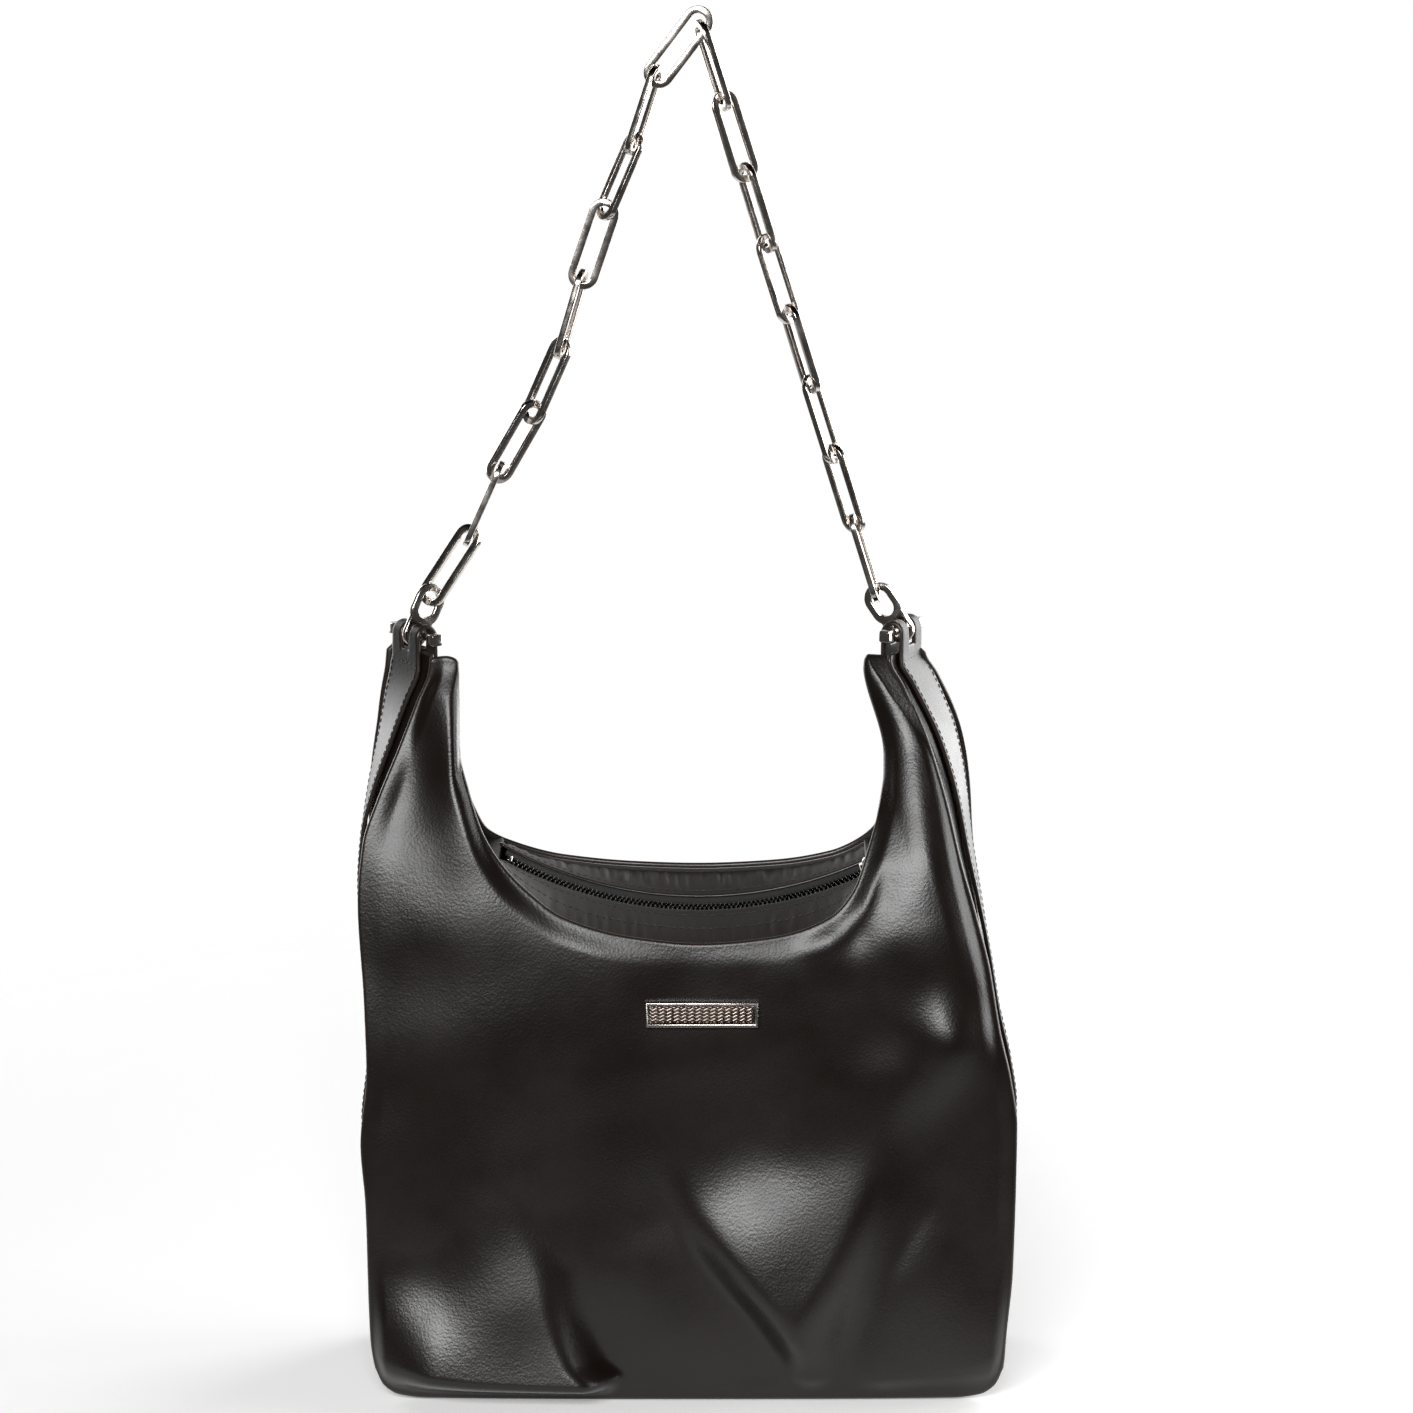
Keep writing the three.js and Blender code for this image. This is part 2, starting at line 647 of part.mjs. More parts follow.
placeOnFront(addPiece('nameplate_field', fieldBox, STEEL), PLATE_CLEAR + PLATE.field / 2);

// ---------------------------------------------------------------- rods, rings and chain
const stadium = (radius, low, high) => {
  const shape = new THREE.Shape();
  shape.absarc(0, high, radius, 0, Math.PI);
  shape.absarc(0, low, radius, Math.PI, 2 * Math.PI);
  return shape;
};

// A flat-cut ring's solid, its length along y and its middle plane at z = 0.
const flatCut = (shape, thick) =>
  closed(slab(shape, thick, LINK_ARC_STEPS).translate(0, 0, -thick / 2));

const windowHigh = RING.top - RING.width / 2;
const windowRadius = RING.width / 2 - RING.bar;
const tailTop = RING.windowFoot + RING.bar;
const windowPlug = flatCut(
  stadium(windowRadius, RING.windowFoot + windowRadius, windowHigh),
  2 * RING.thick,
);
const ringBody = joined(
  flatCut(stadium(RING.width / 2, tailTop, windowHigh), RING.thick),
  flatCut(stadium(TAIL.radius, 0, tailTop), RING.thick),
);
const tailHole = flatCut(
  stadium(TAIL.radius - TAIL.bar, 0, TAIL.holeHeight),
  2 * RING.thick,
);
const ringSolid = cut(cut(ringBody, windowPlug), tailHole);

const rodGeometry = () =>
  new THREE.CylinderGeometry(ROD_RADIUS, ROD_RADIUS, 2 * ROD_HALF_LENGTH, ROD_SIDES)
    .rotateZ(Math.PI / 2);
const capShape = () => {
  const half = CAP_SIDE / 2;
  const inner = half - CAP_EDGE;
  const shape = new THREE.Shape();
  shape.moveTo(half, -inner);
  shape.lineTo(half, inner);
  shape.lineTo(inner, half);
  shape.lineTo(-inner, half);
  shape.lineTo(-half, inner);
  shape.lineTo(-half, -inner);
  shape.lineTo(-inner, -half);
  shape.lineTo(inner, -half);
  return shape;
};

for (const [name, side] of Object.entries(SIDES)) {
  const along = rodDirection(side);
  const frame = rodFrame(side);
  addPiece(`${name}_rod`, closed(rodGeometry().applyMatrix4(frame)), STEEL);
  for (const [endName, end] of [['front', -1], ['back', 1]]) {
    const cap = slab(capShape(), CAP_LENGTH)
      .translate(0, 0, -CAP_LENGTH / 2)
      .rotateY(Math.PI / 2)
      .translate(end * (ROD_HALF_LENGTH + GAP + CAP_LENGTH / 2), 0, 0);
    addPiece(`${name}_rod_cap_${endName}`, closed(cap.applyMatrix4(frame)), STEEL);
  }

  const lean = degToRad(side.ringLean);
  const inwards = outwards(side).negate();
  const long = inwards.clone().multiplyScalar(Math.sin(lean));
  long.z = Math.cos(lean);
  const wide = inwards.clone().multiplyScalar(Math.cos(lean));
  wide.z = -Math.sin(lean);
  const placed = new THREE.Matrix4()
    .makeBasis(wide, long, wide.clone().cross(long))
    .setPosition(side.rod);
  addPiece(`${name}_ring`, closed(ringSolid.clone().applyMatrix4(placed)), STEEL);
}

const linkEnd = (LINK.length - LINK.width) / 2;
const linkSolid = cut(
  flatCut(stadium(LINK.width / 2, -linkEnd, linkEnd), LINK.thick),
  flatCut(stadium(LINK.width / 2 - LINK.bar, -linkEnd, linkEnd), 2 * LINK.thick),
);
let linkCount = 0;
for (const { points, turns } of [LEFT_RUN, RIGHT_RUN]) {
  turns.forEach((turn, i) => {
    const [[x0, z0], [x1, z1]] = [points[i], points[i + 1]];
    const long = new THREE.Vector3(x1 - x0, 0, z1 - z0).normalize();
    if (long.z < 0) long.negate();
    const face = new THREE.Vector3(0, -1, 0).applyAxisAngle(long, degToRad(turn));
    const wide = long.clone().cross(face);
    linkCount += 1;
    const name = `link_${String(linkCount).padStart(2, '0')}`;
    const mesh = addPiece(name, linkSolid.clone(), STEEL);
    mesh.quaternion.setFromRotationMatrix(new THREE.Matrix4().makeBasis(wide, long, face));
    mesh.position.set((x0 + x1) / 2, CHAIN_Y, (z0 + z1) / 2);
  });
}

// The middle of the bounding box stands over the origin.
const bounds = new THREE.Box3().setFromObject(bag, true);
bag.position.set(
  -(bounds.min.x + bounds.max.x) / 2,
  -(bounds.min.y + bounds.max.y) / 2,
  -bounds.min.z,
);
const part = new THREE.Group();
part.add(bag);

export default part;
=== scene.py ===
"""Hobo bag: smooth near-black leather, a zipped mouth between two horns, and a chain strap.

The CAD frame gives every place. Shapes here are worked out in millimetres, in drawing
coordinates whose origin is on the floor between the rods, and are moved into the frame
by ORIGIN. The front faces -Y.
"""

import json
import math

import bmesh
import bpy
import numpy as np
from mathutils import Matrix, Vector

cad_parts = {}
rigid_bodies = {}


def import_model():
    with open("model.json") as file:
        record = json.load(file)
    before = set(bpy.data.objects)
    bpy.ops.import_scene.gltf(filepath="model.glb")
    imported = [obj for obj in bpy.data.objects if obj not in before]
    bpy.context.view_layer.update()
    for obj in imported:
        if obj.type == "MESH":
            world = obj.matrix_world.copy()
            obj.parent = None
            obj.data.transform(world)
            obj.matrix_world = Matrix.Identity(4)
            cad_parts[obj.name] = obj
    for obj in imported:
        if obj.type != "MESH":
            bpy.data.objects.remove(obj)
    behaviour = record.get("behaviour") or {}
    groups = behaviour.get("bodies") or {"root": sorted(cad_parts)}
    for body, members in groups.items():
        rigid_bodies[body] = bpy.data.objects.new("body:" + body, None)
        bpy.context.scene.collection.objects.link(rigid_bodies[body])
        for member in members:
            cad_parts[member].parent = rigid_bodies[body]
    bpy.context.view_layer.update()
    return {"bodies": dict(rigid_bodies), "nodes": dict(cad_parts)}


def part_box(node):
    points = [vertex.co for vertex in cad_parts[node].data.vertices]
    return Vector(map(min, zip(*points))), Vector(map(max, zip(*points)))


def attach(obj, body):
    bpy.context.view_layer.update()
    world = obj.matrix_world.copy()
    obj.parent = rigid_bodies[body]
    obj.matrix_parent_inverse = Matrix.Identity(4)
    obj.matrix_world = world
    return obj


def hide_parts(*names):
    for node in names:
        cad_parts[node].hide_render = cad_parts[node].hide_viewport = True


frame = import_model()
MM = 0.001


# ------------------------------ places from the frame
def box_centre(node):
    low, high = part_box(node)
    return (np.array(low) + np.array(high)) / 2 / MM


def node_points(node):
    mesh = frame["nodes"][node].data
    flat = np.empty(len(mesh.vertices) * 3)
    mesh.vertices.foreach_get("co", flat)
    return flat.reshape(-1, 3) / MM


def own_axes(points):
    """Directions of a node's shortest, middle and longest extent, as columns."""
    _, axes = np.linalg.eigh(np.cov((points - points.mean(axis=0)).T))
    return axes


LEFT_ROD = np.array([-121.0, 0.0, 337.0])
RIGHT_ROD = np.array([93.0, 0.0, 339.0])
ORIGIN = box_centre("left_rod") - LEFT_ROD

# ------------------------------ driving dimensions, mm
LEATHER = 2.4
SIDE_LEATHER = 2.0
FACING_LEATHER = 1.4
STRAP_INSET = 2.9  # strap leather to gusset leather, centre to centre

# Middle of each side strap's leather: [height, x, y, twist towards the front in degrees].
LEFT_SIDE = [
    [3, -128.5, 0, 0], [6, -134, 0, 0], [10, -138, 0, 0], [15, -140.5, 0, 0], [30, -142.5, 0, 0],
    [90, -143.8, 0, 0], [117, -145.6, 0, 0], [150, -142.6, 0, 0], [180, -143.4, 0, 0],
    [225, -146, 0, 0], [250, -144.4, 0, 1], [268, -140.8, 0, 6], [292, -134, -0.6, 16],
    [310, -129, -1.4, 26], [322, -125.3, -2.3, 33], [328, -124.65, -2.46, 34],
    [345, -124.65, -2.46, 34],
]
RIGHT_SIDE = [
    [3, 128.5, 0, 0], [6, 134, 0, 0], [10, 138, 0, 0], [15, 139.8, 0, 0], [30, 141, 0, 0],
    [60, 143.5, 0, 0], [126, 144.6, 0, 0], [147, 141.8, 0, 0], [168, 137, 0, 0],
    [193, 132.8, 0, 0], [222, 127.5, 0, 3], [240, 124, 0, 6], [268, 119.5, -0.2, 12],
    [292, 113.5, -0.8, 19], [317, 102.6, -1.6, 24.5], [328, 97, -1.86, 25], [345, 97, -1.86, 25],
]
# Half the depth of the body along its sides, and y of its front and back middle lines.
HALF_DEPTH = [
    [0, 48], [110, 48.5], [160, 47], [200, 42], [240, 36], [270, 29], [300, 21.5], [320, 18.6],
    [345, 18.2],
]
FRONT_MIDDLE = [
    [0, -49], [50, -54], [100, -56], [150, -54], [190, -48.5], [207, -46], [240, -38], [270, -30],
    [300, -22.5], [340, -15.5],
]
BACK_MIDDLE = [
    [0, 49], [50, 51], [100, 50], [150, 47], [200, 41.5], [223, 38], [240, 34.5], [270, 28],
    [300, 21.5], [340, 15.5],
]
EDGE_POWER = 3
EDGE_DECAY = 4

# Bottom edge of the large panels and the two mouth rims: [share of the width, x, z].
HEM = [
    [0, -139, 15], [0.02, -135.5, 7.5], [0.05, -129, 3.4], [0.1, -117, 2], [0.5, 0, 1.6],
    [0.9, 117, 2], [0.95, 129, 3.4], [0.98, 135.5, 7.5], [1, 139, 15],
]
FRONT_RIM = [
    [0, -115.5, 328.5], [0.035, -109, 329.5], [0.065, -104.3, 327.5], [0.085, -103.8, 316],
    [0.11, -103.4, 292], [0.14, -99, 273], [0.17, -92.4, 254.5], [0.21, -82.7, 240],
    [0.25, -70.8, 228.5], [0.3, -57.2, 219], [0.41, -25, 210], [0.52, 4.4, 207.3],
    [0.63, 37, 210], [0.74, 64, 219], [0.785, 75.2, 231], [0.82, 81.6, 247], [0.85, 86.6, 262],
    [0.88, 90, 280], [0.92, 90.6, 305], [0.945, 90.8, 321], [0.962, 91.5, 326.3],
    [0.978, 93, 328.6], [1, 94, 328],
]
BACK_RIM = [
    [0, -131, 327], [0.03, -126, 331], [0.07, -119, 325], [0.11, -111, 295], [0.15, -103, 270],
    [0.18, -97, 252], [0.21, -91, 240.3], [0.26, -77.4, 233], [0.32, -57, 227.3],
    [0.42, -25, 224], [0.52, 4.4, 223], [0.63, 37, 224.5], [0.73, 64, 229], [0.79, 83.6, 240.8],
    [0.83, 90, 254], [0.87, 94, 272], [0.91, 96, 297], [0.96, 98, 326], [0.98, 101, 331],
    [1, 106, 327],
]

GUSSET_TOP = 330
STRAP_HALF_WIDTH = 12.2
STRAP_FOOT = 16
FOLD_RADIUS = 4.4
FOLD_TAIL = 13
SLOT_HALF_WIDTH = 2.8
SLOT_DEPTH = 6.8
TAB_DEPTH = 10.8  # the folded end's stitching lies this far below the rod

ZIP_CENTRE = np.array([4.0, 0.0, 388.0])
ZIP_RADIUS = 175
ZIP_HALF_ANGLE = 29.5
ZIP_LEAN = 21
TEETH_HALF_ANGLE = 28.2
TOOTH_PITCH = 2.0
FACING_LEFT, FACING_RIGHT = -84, 78

LINK_WIDTH, LINK_BAR, LINK_THICK = 13.3, 3.2, 2.6
RING_RADIUS, RING_BAR, RING_THICK = 7.3, 3.3, 2.6
RING_TOP, RING_WINDOW_FOOT = 23.7, 8.0
TAIL_RADIUS, TAIL_BAR = 5.9, 2.6


# ------------------------------ number helpers
def table(rows):
    """f(v): the row of a table at v, on smooth curves that never overshoot its rows."""
    rows = np.array(rows, float)
    x, y = rows[:, 0], rows[:, 1:]
    h = np.diff(x)[:, None]
    slope = np.diff(y, axis=0) / h
    before, after = 2 * h[1:] + h[:-1], h[1:] + 2 * h[:-1]
    steady = slope[1:] * slope[:-1] > 0
    safe = np.where(steady, slope[:-1], 1), np.where(steady, slope[1:], 1)
    tangent = np.zeros_like(y)
    tangent[1:-1] = np.where(
        steady, (before + after) / (before / safe[0] + after / safe[1]), 0
    )
    tangent[0], tangent[-1] = slope[0], slope[-1]

    def at(v):
        v = np.clip(np.asarray(v, float), x[0], x[-1])
        i = np.clip(np.searchsorted(x, v, "right") - 1, 0, len(x) - 2)
        t = ((v - x[i]) / h[i, 0])[..., None]
        return (
            (1 + 2 * t) * (1 - t) ** 2 * y[i]
            + t * (1 - t) ** 2 * h[i] * tangent[i]
            + t**2 * (3 - 2 * t) * y[i + 1]
            + t**2 * (t - 1) * h[i] * tangent[i + 1]
        )

    return at


def smooth(low, high, v):
    t = np.clip((v - low) / (high - low), 0, 1)
    return t * t * (3 - 2 * t)


def mix(a, b, t):
    return a + (b - a) * t


def stack(*parts):
    return np.stack(np.broadcast_arrays(*parts), axis=-1)


def unit(v):
    return v / np.maximum(np.linalg.norm(v, axis=-1, keepdims=True), 1e-12)


def spline(points, count):
    """Points along a smooth curve through all of points, with centripetal spacing."""
    points = np.array(points, float)
    step = np.linalg.norm(np.diff(points, axis=0), axis=1) ** 0.5
    along = np.concatenate([[0], np.cumsum(step)])
    at = table(np.column_stack([along, points]))
    return at(np.linspace(0, along[-1], count))


def ripple(x, z, seed, waves, length):
    """Gentle unevenness of about -1 to 1, from sine waves with lengths in that range."""
    rng = np.random.default_rng(seed)
    total = np.zeros_like(x)
    for _ in range(waves):
        turn = rng.uniform(0, 2 * math.pi)
        size = rng.uniform(*length)
        phase = rng.uniform(0, 2 * math.pi)
        total += np.sin((x * math.cos(turn) + z * math.sin(turn)) * 2 * math.pi / size + phase)
    return total / math.sqrt(waves)


# ------------------------------ the soft body's surfaces
SIDES = {
    "left": {"sign": -1, "at": table(LEFT_SIDE), "rod": LEFT_ROD},
    "right": {"sign": 1, "at": table(RIGHT_SIDE), "rod": RIGHT_ROD},
}
half_depth = table(HALF_DEPTH)
MIDDLES = {-1: table(FRONT_MIDDLE), 1: table(BACK_MIDDLE)}
hem_at = table(HEM)
RIMS = {-1: table(FRONT_RIM), 1: table(BACK_RIM)}


def side_point(side, z, across, out):
    """A place across mm behind the middle of a side strap and out mm outside its leather."""
    x, y, turn = np.moveaxis(side["at"](z), -1, 0)
    turn = np.radians(turn)
    return stack(
        x + side["sign"] * (np.sin(turn) * across + np.cos(turn) * out),
        y + np.cos(turn) * across - np.sin(turn) * out,
        z,
    )


def seam_point(side, z, back):
    """Where a large panel meets a gusset. back is -1 for the front and 1 for the back."""
    out = SIDE_LEATHER / 2 - STRAP_INSET
    return side_point(side, z, back * half_depth(z)[..., 0], out)


def panel_y(x, z, back):
    """The smooth surface of a large panel, without its folds."""
    left = seam_point(SIDES["left"], z, back)
    right = seam_point(SIDES["right"], z, back)
    share = np.clip((x - left[..., 0]) / (right[..., 0] - left[..., 0]), 0, 1)
    from_middle = np.abs(2 * share - 1) ** EDGE_POWER
    edge = mix(left[..., 1], right[..., 1], share)
    return mix(MIDDLES[back](z)[..., 0], edge, from_middle)


def panel_xz(s, t, back):
    """A panel's place at share s of its width and share t of its height."""
    hem, rim = hem_at(s), RIMS[back](s)
    z = mix(hem[..., 1], rim[..., 1], t)
    x = mix(hem[..., 0], rim[..., 0], t)
    for name, end in (("left", 0.0), ("right", 1.0)):
        end_hem, end_rim = hem_at(end), RIMS[back](end)
        seam_z = mix(end_hem[1], end_rim[1], t)
        seam_x = seam_point(SIDES[name], seam_z, back)[..., 0]
        pull = (1 - np.abs(s - end)) ** EDGE_DECAY
        x = x + (seam_x - mix(end_hem[0], end_rim[0], t)) * pull
    return x, z


def zip_tilt(points):
    """The zip leans: its back half stands higher than its front half."""
    x, y, z = np.moveaxis(points - ZIP_CENTRE, -1, 0)
    r = np.hypot(x, z)
    rise = ZIP_RADIUS - r
    lean = math.radians(ZIP_LEAN)
    k = (ZIP_RADIUS - rise * math.cos(lean) - y * math.sin(lean)) / r
    return ZIP_CENTRE + stack(x * k, y * math.cos(lean) - rise * math.sin(lean), z * k)


def zip_point(angle, y, rise=0.0):
    """A place on the zip's arc: angle in degrees from its lowest point, y across it."""
    a = np.radians(angle)
    r = ZIP_RADIUS - rise
    flat = stack(ZIP_CENTRE[0] + r * np.sin(a), y, ZIP_CENTRE[2] - r * np.cos(a))
    return zip_tilt(flat)


def zip_height(x):
    return ZIP_CENTRE[2] - np.sqrt(ZIP_RADIUS**2 - (x - ZIP_CENTRE[0]) ** 2)


# ------------------------------ folds of the leather
ROUTE_POINTS = 40
LOBE_SAG = 0.65  # 0 swells most halfway down, 1 right above the foot
LOBE_POWER = 1.7
LOBE_UNDER = 0.3  # its turn under would end this share of foot below the floor
LOBE_RAGGED = 3.5  # unevenness of a lobe's top, mm
LOBE_WAVES = (3, 4, (50, 110))  # seed, number and lengths of its waves
SURFACE_RIPPLE = 0.5
SURFACE_SEED, SURFACE_WAVES = 5, (9, (34, 80))


def fold(x, z, route, height, before, after, ends=(0.35, 0.35)):
    """A ridge (or with a height below 0 a crease) along a route. before and after are its
    widths towards -x and +x where the route runs down."""
    path = spline(route, ROUTE_POINTS)
    best = np.full(x.shape, 1e9)
    signed = np.zeros(x.shape)
    place = np.zeros(x.shape)
    for i, (a, b) in enumerate(zip(path[:-1], path[1:])):
        run = b - a
        size = run @ run
        share = np.clip(((x - a[0]) * run[0] + (z - a[1]) * run[1]) / size, 0, 1)
        dx, dz = x - a[0] - share * run[0], z - a[1] - share * run[1]
        distance = np.hypot(dx, dz)
        near = distance < best
        side = np.sign(run[0] * dz - run[1] * dx)
        best = np.where(near, distance, best)
        signed = np.where(near, side * distance, signed)
        place = np.where(near, (i + share) / (len(path) - 1), place)
    width = np.where(signed > 0, after, before)
    fade = smooth(0, ends[0], place) * smooth(0, ends[1], 1 - place)
    return height * np.exp(-((signed / width) ** 2)) * fade


def bulge(x, z, centre, reach, height, tilt=0.0):
    a = math.radians(tilt)
    dx, dz = x - centre[0], z - centre[1]
    u = (dx * math.cos(a) + dz * math.sin(a)) / reach[0]
    v = (dz * math.cos(a) - dx * math.sin(a)) / reach[1]
    return height * np.exp(-(u * u + v * v))


def lobe(x, z, outline, edges, height, top, peak, foot):
    """Leather that hangs out between two creases. Outline rows are [height, x of its left
    crease, x of its right one] and edges are the widths of its two flanks. It swells from
    top (its height at x = 0 and its slope) down to peak and turns under at foot."""
    left, right = np.moveaxis(table(outline)(z), -1, 0)
    across = smooth(0, edges[0], x - left) * smooth(0, edges[1], right - x)
    high = top[0] + top[1] * x + LOBE_RAGGED * ripple(x, z, *LOBE_WAVES)
    down = np.clip((high - z) / (high - peak), 0, 1)
    swell = mix(smooth(0, 1, down), down**LOBE_POWER, LOBE_SAG)
    return height * across * swell * smooth(-LOBE_UNDER * foot, foot, z)


FRONT_LOBES = [
    # outline, edges, height, top, peak, foot: the middle lobe, the left one, the right one
    (
        [(0, 42, 66), (14, 39, 70), (38, 24, 80), (57, 8, 90), (79, -8, 102), (98, -18, 113),
         (125, -28, 130), (150, -32, 140)],
        (22, 36), 20.5, (116, 0.42), 12, 14,
    ),
    (
        [(0, -162, -26), (11, -162, -28), (20, -162, -36), (42, -162, -45), (62, -162, -49),
         (79, -162, -60), (94, -162, -82), (120, -162, -100)],
        (52, 20), 19.2, (94, 0.16), 10, 12,
    ),
    (
        [(0, 64, 190), (45, 68, 190), (70, 78, 190), (96, 92, 190), (123, 106, 190)],
        (24, 40), 5.5, (96, 0), 14, 14,
    ),
]
FRONT_BULGES = [
    # centre, reach, height, tilt
    ((10, 118), (104, 46), -9.0, 0),
    ((30, 24), (90, 24), -1.2, 0),
    ((-36, 140), (28, 70), 1.5, 8),
    ((-101, 292), (15, 52), 7.0, 8),
    ((-126, 262), (12, 40), -1.5, -20),
    ((114, 172), (18, 28), 6.0, 0),
]
FRONT_FOLDS = [
    # route, height, width towards -x, width towards +x
    ([(-96, 112), (-74, 92), (-57, 70), (-48, 46), (-40, 22), (-30, 2)], -2.5, 9, 30),
    ([(-28, 124), (-16, 99), (-7, 78), (8, 57), (26, 36), (40, 6)], -3.6, 24, 11),
    ([(124, 172), (101, 130), (89, 97), (80, 69), (72, 44), (66, 6)], -3.5, 10, 16),
    ([(90, 330), (95, 289), (102, 250), (112, 212), (122, 174)], 8.5, 36, 12, (0.8, 0.3)),
    ([(122, 190), (112, 163), (99, 136), (84, 100)], 4.5, 30, 12, (0.3, 0.5)),
    ([(-98, 272), (-82, 240), (-57, 219), (-25, 210), (4, 207), (37, 210), (64, 219), (80, 244)],
     1.3, 20, 20, (0.12, 0.12)),
    ([(-139, 262), (-108, 230), (-88, 192), (-78, 145), (-66, 90)], 3.5, 26, 30),
    ([(84, 250), (72, 228), (58, 214), (42, 205)], 2.0, 8, 8),
    ([(88, 246), (77, 220), (62, 200)], -1.8, 8, 9),
    ([(78, 214), (52, 199), (22, 188)], 1.2, 12, 12),
    ([(104, 176), (64, 156), (22, 150)], -1.2, 16, 16),
]
BACK_LOBES = [
    ([(0, -175, -66), (40, -175, -72), (80, -175, -84), (110, -175, -96)], (40, 34), 8, (100, 0),
     18, 16),
    ([(0, -88, 26), (40, -90, 30), (80, -98, 36), (120, -104, 40)], (34, 30), 12, (112, -0.1),
     20, 18),
    ([(0, 8, 190), (40, 14, 190), (80, 24, 190), (120, 30, 190)], (28, 40), 9, (104, 0), 18, 16),
]
BACK_BULGES = [((0, 120), (110, 38), -6.0, 0)]
BACK_FOLDS = [
    ([(-104, 296), (-112, 240), (-118, 190), (-100, 130)], 3.0, 12, 14),
    ([(96, 300), (104, 250), (112, 205), (96, 140)], 3.0, 14, 12),
    ([(-60, 210), (-30, 196), (10, 192)], -1.4, 9, 12),
]
FEATURES = {
    -1: (FRONT_LOBES, FRONT_BULGES, FRONT_FOLDS),
    1: (BACK_LOBES, BACK_BULGES, BACK_FOLDS),
}


def relief(x, z, back):
    """How far the folded leather stands out from its smooth surface."""
    lobes, bulges, folds = FEATURES[back]
    out = sum(lobe(x, z, *each) for each in lobes)
    out = out + sum(bulge(x, z, *each) for each in bulges)
    out = out + sum(fold(x, z, *each) for each in folds)
    return out + SURFACE_RIPPLE * ripple(x, z, SURFACE_SEED + back, *SURFACE_WAVES)


# The right horns' free edges roll inwards, and the front one's top leans to the mouth.
HORN_CURL, CURL_REACH, CURL_RISE = 9.0, 15.0, (232, 285)
HORN_LEAN, LEAN_RISE = 8.5, (286, 326)
LEAN_START = 0.02  # share of the width beside the seam over which the lean sets in


def horn_curl(s, t, back):
    hem, rim = hem_at(s), RIMS[back](s)
    inward = (1 - t) * np.linalg.norm(rim - hem, axis=-1)
    return HORN_CURL * (s > 0.5) * smooth(*CURL_RISE, rim[..., 1]) * np.exp(-inward / CURL_REACH)


def horn_lean(s, z):
    return HORN_LEAN * smooth(*LEAN_RISE, z) * smooth(0, LEAN_START, 1 - s) * (s > 0.5)


HELD_EDGE = 0.035  # share of the width beside a side seam over which the folds set in
HELD_RIM = 0.05  # the same share of the height, at the hem and at the rim
RIM_FREEDOM = 0.25  # how much of the folds the rim itself shows


def panel_surface(back):
    def at(s, t):
        s, t = np.broadcast_arrays(np.asarray(s, float), np.asarray(t, float))
        x, z = panel_xz(s, t, back)
        if back < 0:
            x = x - horn_lean(s, z)
        free = smooth(0, HELD_EDGE, s) * smooth(0, HELD_EDGE, 1 - s) * smooth(0, HELD_RIM, t)
        free = free * mix(RIM_FREEDOM, 1, smooth(0, HELD_RIM, 1 - t))
        y = panel_y(x, z, back) + back * (relief(x, z, back) * free - horn_curl(s, t, back))
        return stack(x, y, z)

    return at


# ------------------------------ mesh helpers
def add_object(name, data):
    obj = bpy.data.objects.new(name, data)
    bpy.context.scene.collection.objects.link(obj)
    return obj


def smooth_shade(mesh, sharp):
    """Smooth shading, except over edges of more than sharp degrees."""
    mesh.polygons.foreach_set("use_smooth", [True] * len(mesh.polygons))
    if sharp:
        mesh.set_sharp_from_angle(angle=math.radians(sharp))


def hand_over(obj, body="bag", node=None):
    """A finished piece: the body it rides on and the CAD node it replaces."""
    if node:
        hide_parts(node)
    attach(obj, body)


def mesh_object(name, points, faces, materials, face_slots=None, sharp=None):
    mesh = bpy.data.meshes.new(name)
    points = (np.asarray(points).reshape(-1, 3) + ORIGIN) * MM
    mesh.from_pydata(points.tolist(), [], [tuple(map(int, f)) for f in faces])
    for each in materials:
        mesh.materials.append(each)
    if face_slots is not None:
        mesh.polygons.foreach_set("material_index", np.asarray(face_slots, np.int32))
    smooth_shade(mesh, sharp)
    mesh.update()
    return add_object(name, mesh)


def grid_faces(rows, columns, keep):
    """Faces of a rows by columns grid of points; keep(i, j) leaves cells out."""
    return [
        (i * columns + j, (i + 1) * columns + j, (i + 1) * columns + j + 1, i * columns + j + 1)
        for i in range(rows - 1)
        for j in range(columns - 1)
        if keep is None or keep(i, j)
    ]


def vertex_normals(points, faces):
    corners = points[faces]
    across = np.cross(corners[:, 2] - corners[:, 0], corners[:, 3] - corners[:, 1])
    normals = np.zeros_like(points)
    for k in range(4):
        np.add.at(normals, faces[:, k], across)
    return unit(normals)


def compact(points, faces):
    """Points and faces without the points that no face uses."""
    points = np.asarray(points, float).reshape(-1, 3)
    faces = np.array(faces)
    used = np.unique(faces)
    renumber = np.full(len(points), -1)
    renumber[used] = np.arange(len(used))
    return points[used], renumber[faces]


def open_border(points, faces, normals):
    """Edges with one face only, and the direction out of the sheet at their points."""
    directed = dict.fromkeys(
        (int(a), int(b)) for f in faces for a, b in zip(f, np.roll(f, -1))
    )
    border = [(a, b) for a, b in directed if (b, a) not in directed]
    outward = np.zeros_like(points)
    for a, b in border:
        for v in (a, b):
            outward[v] += unit(np.cross(points[b] - points[a], normals[v]))
    return border, unit(outward)


EDGE_TURNS = (45, 90, 135)  # degrees round a sheet's edge from its outer to its inner face


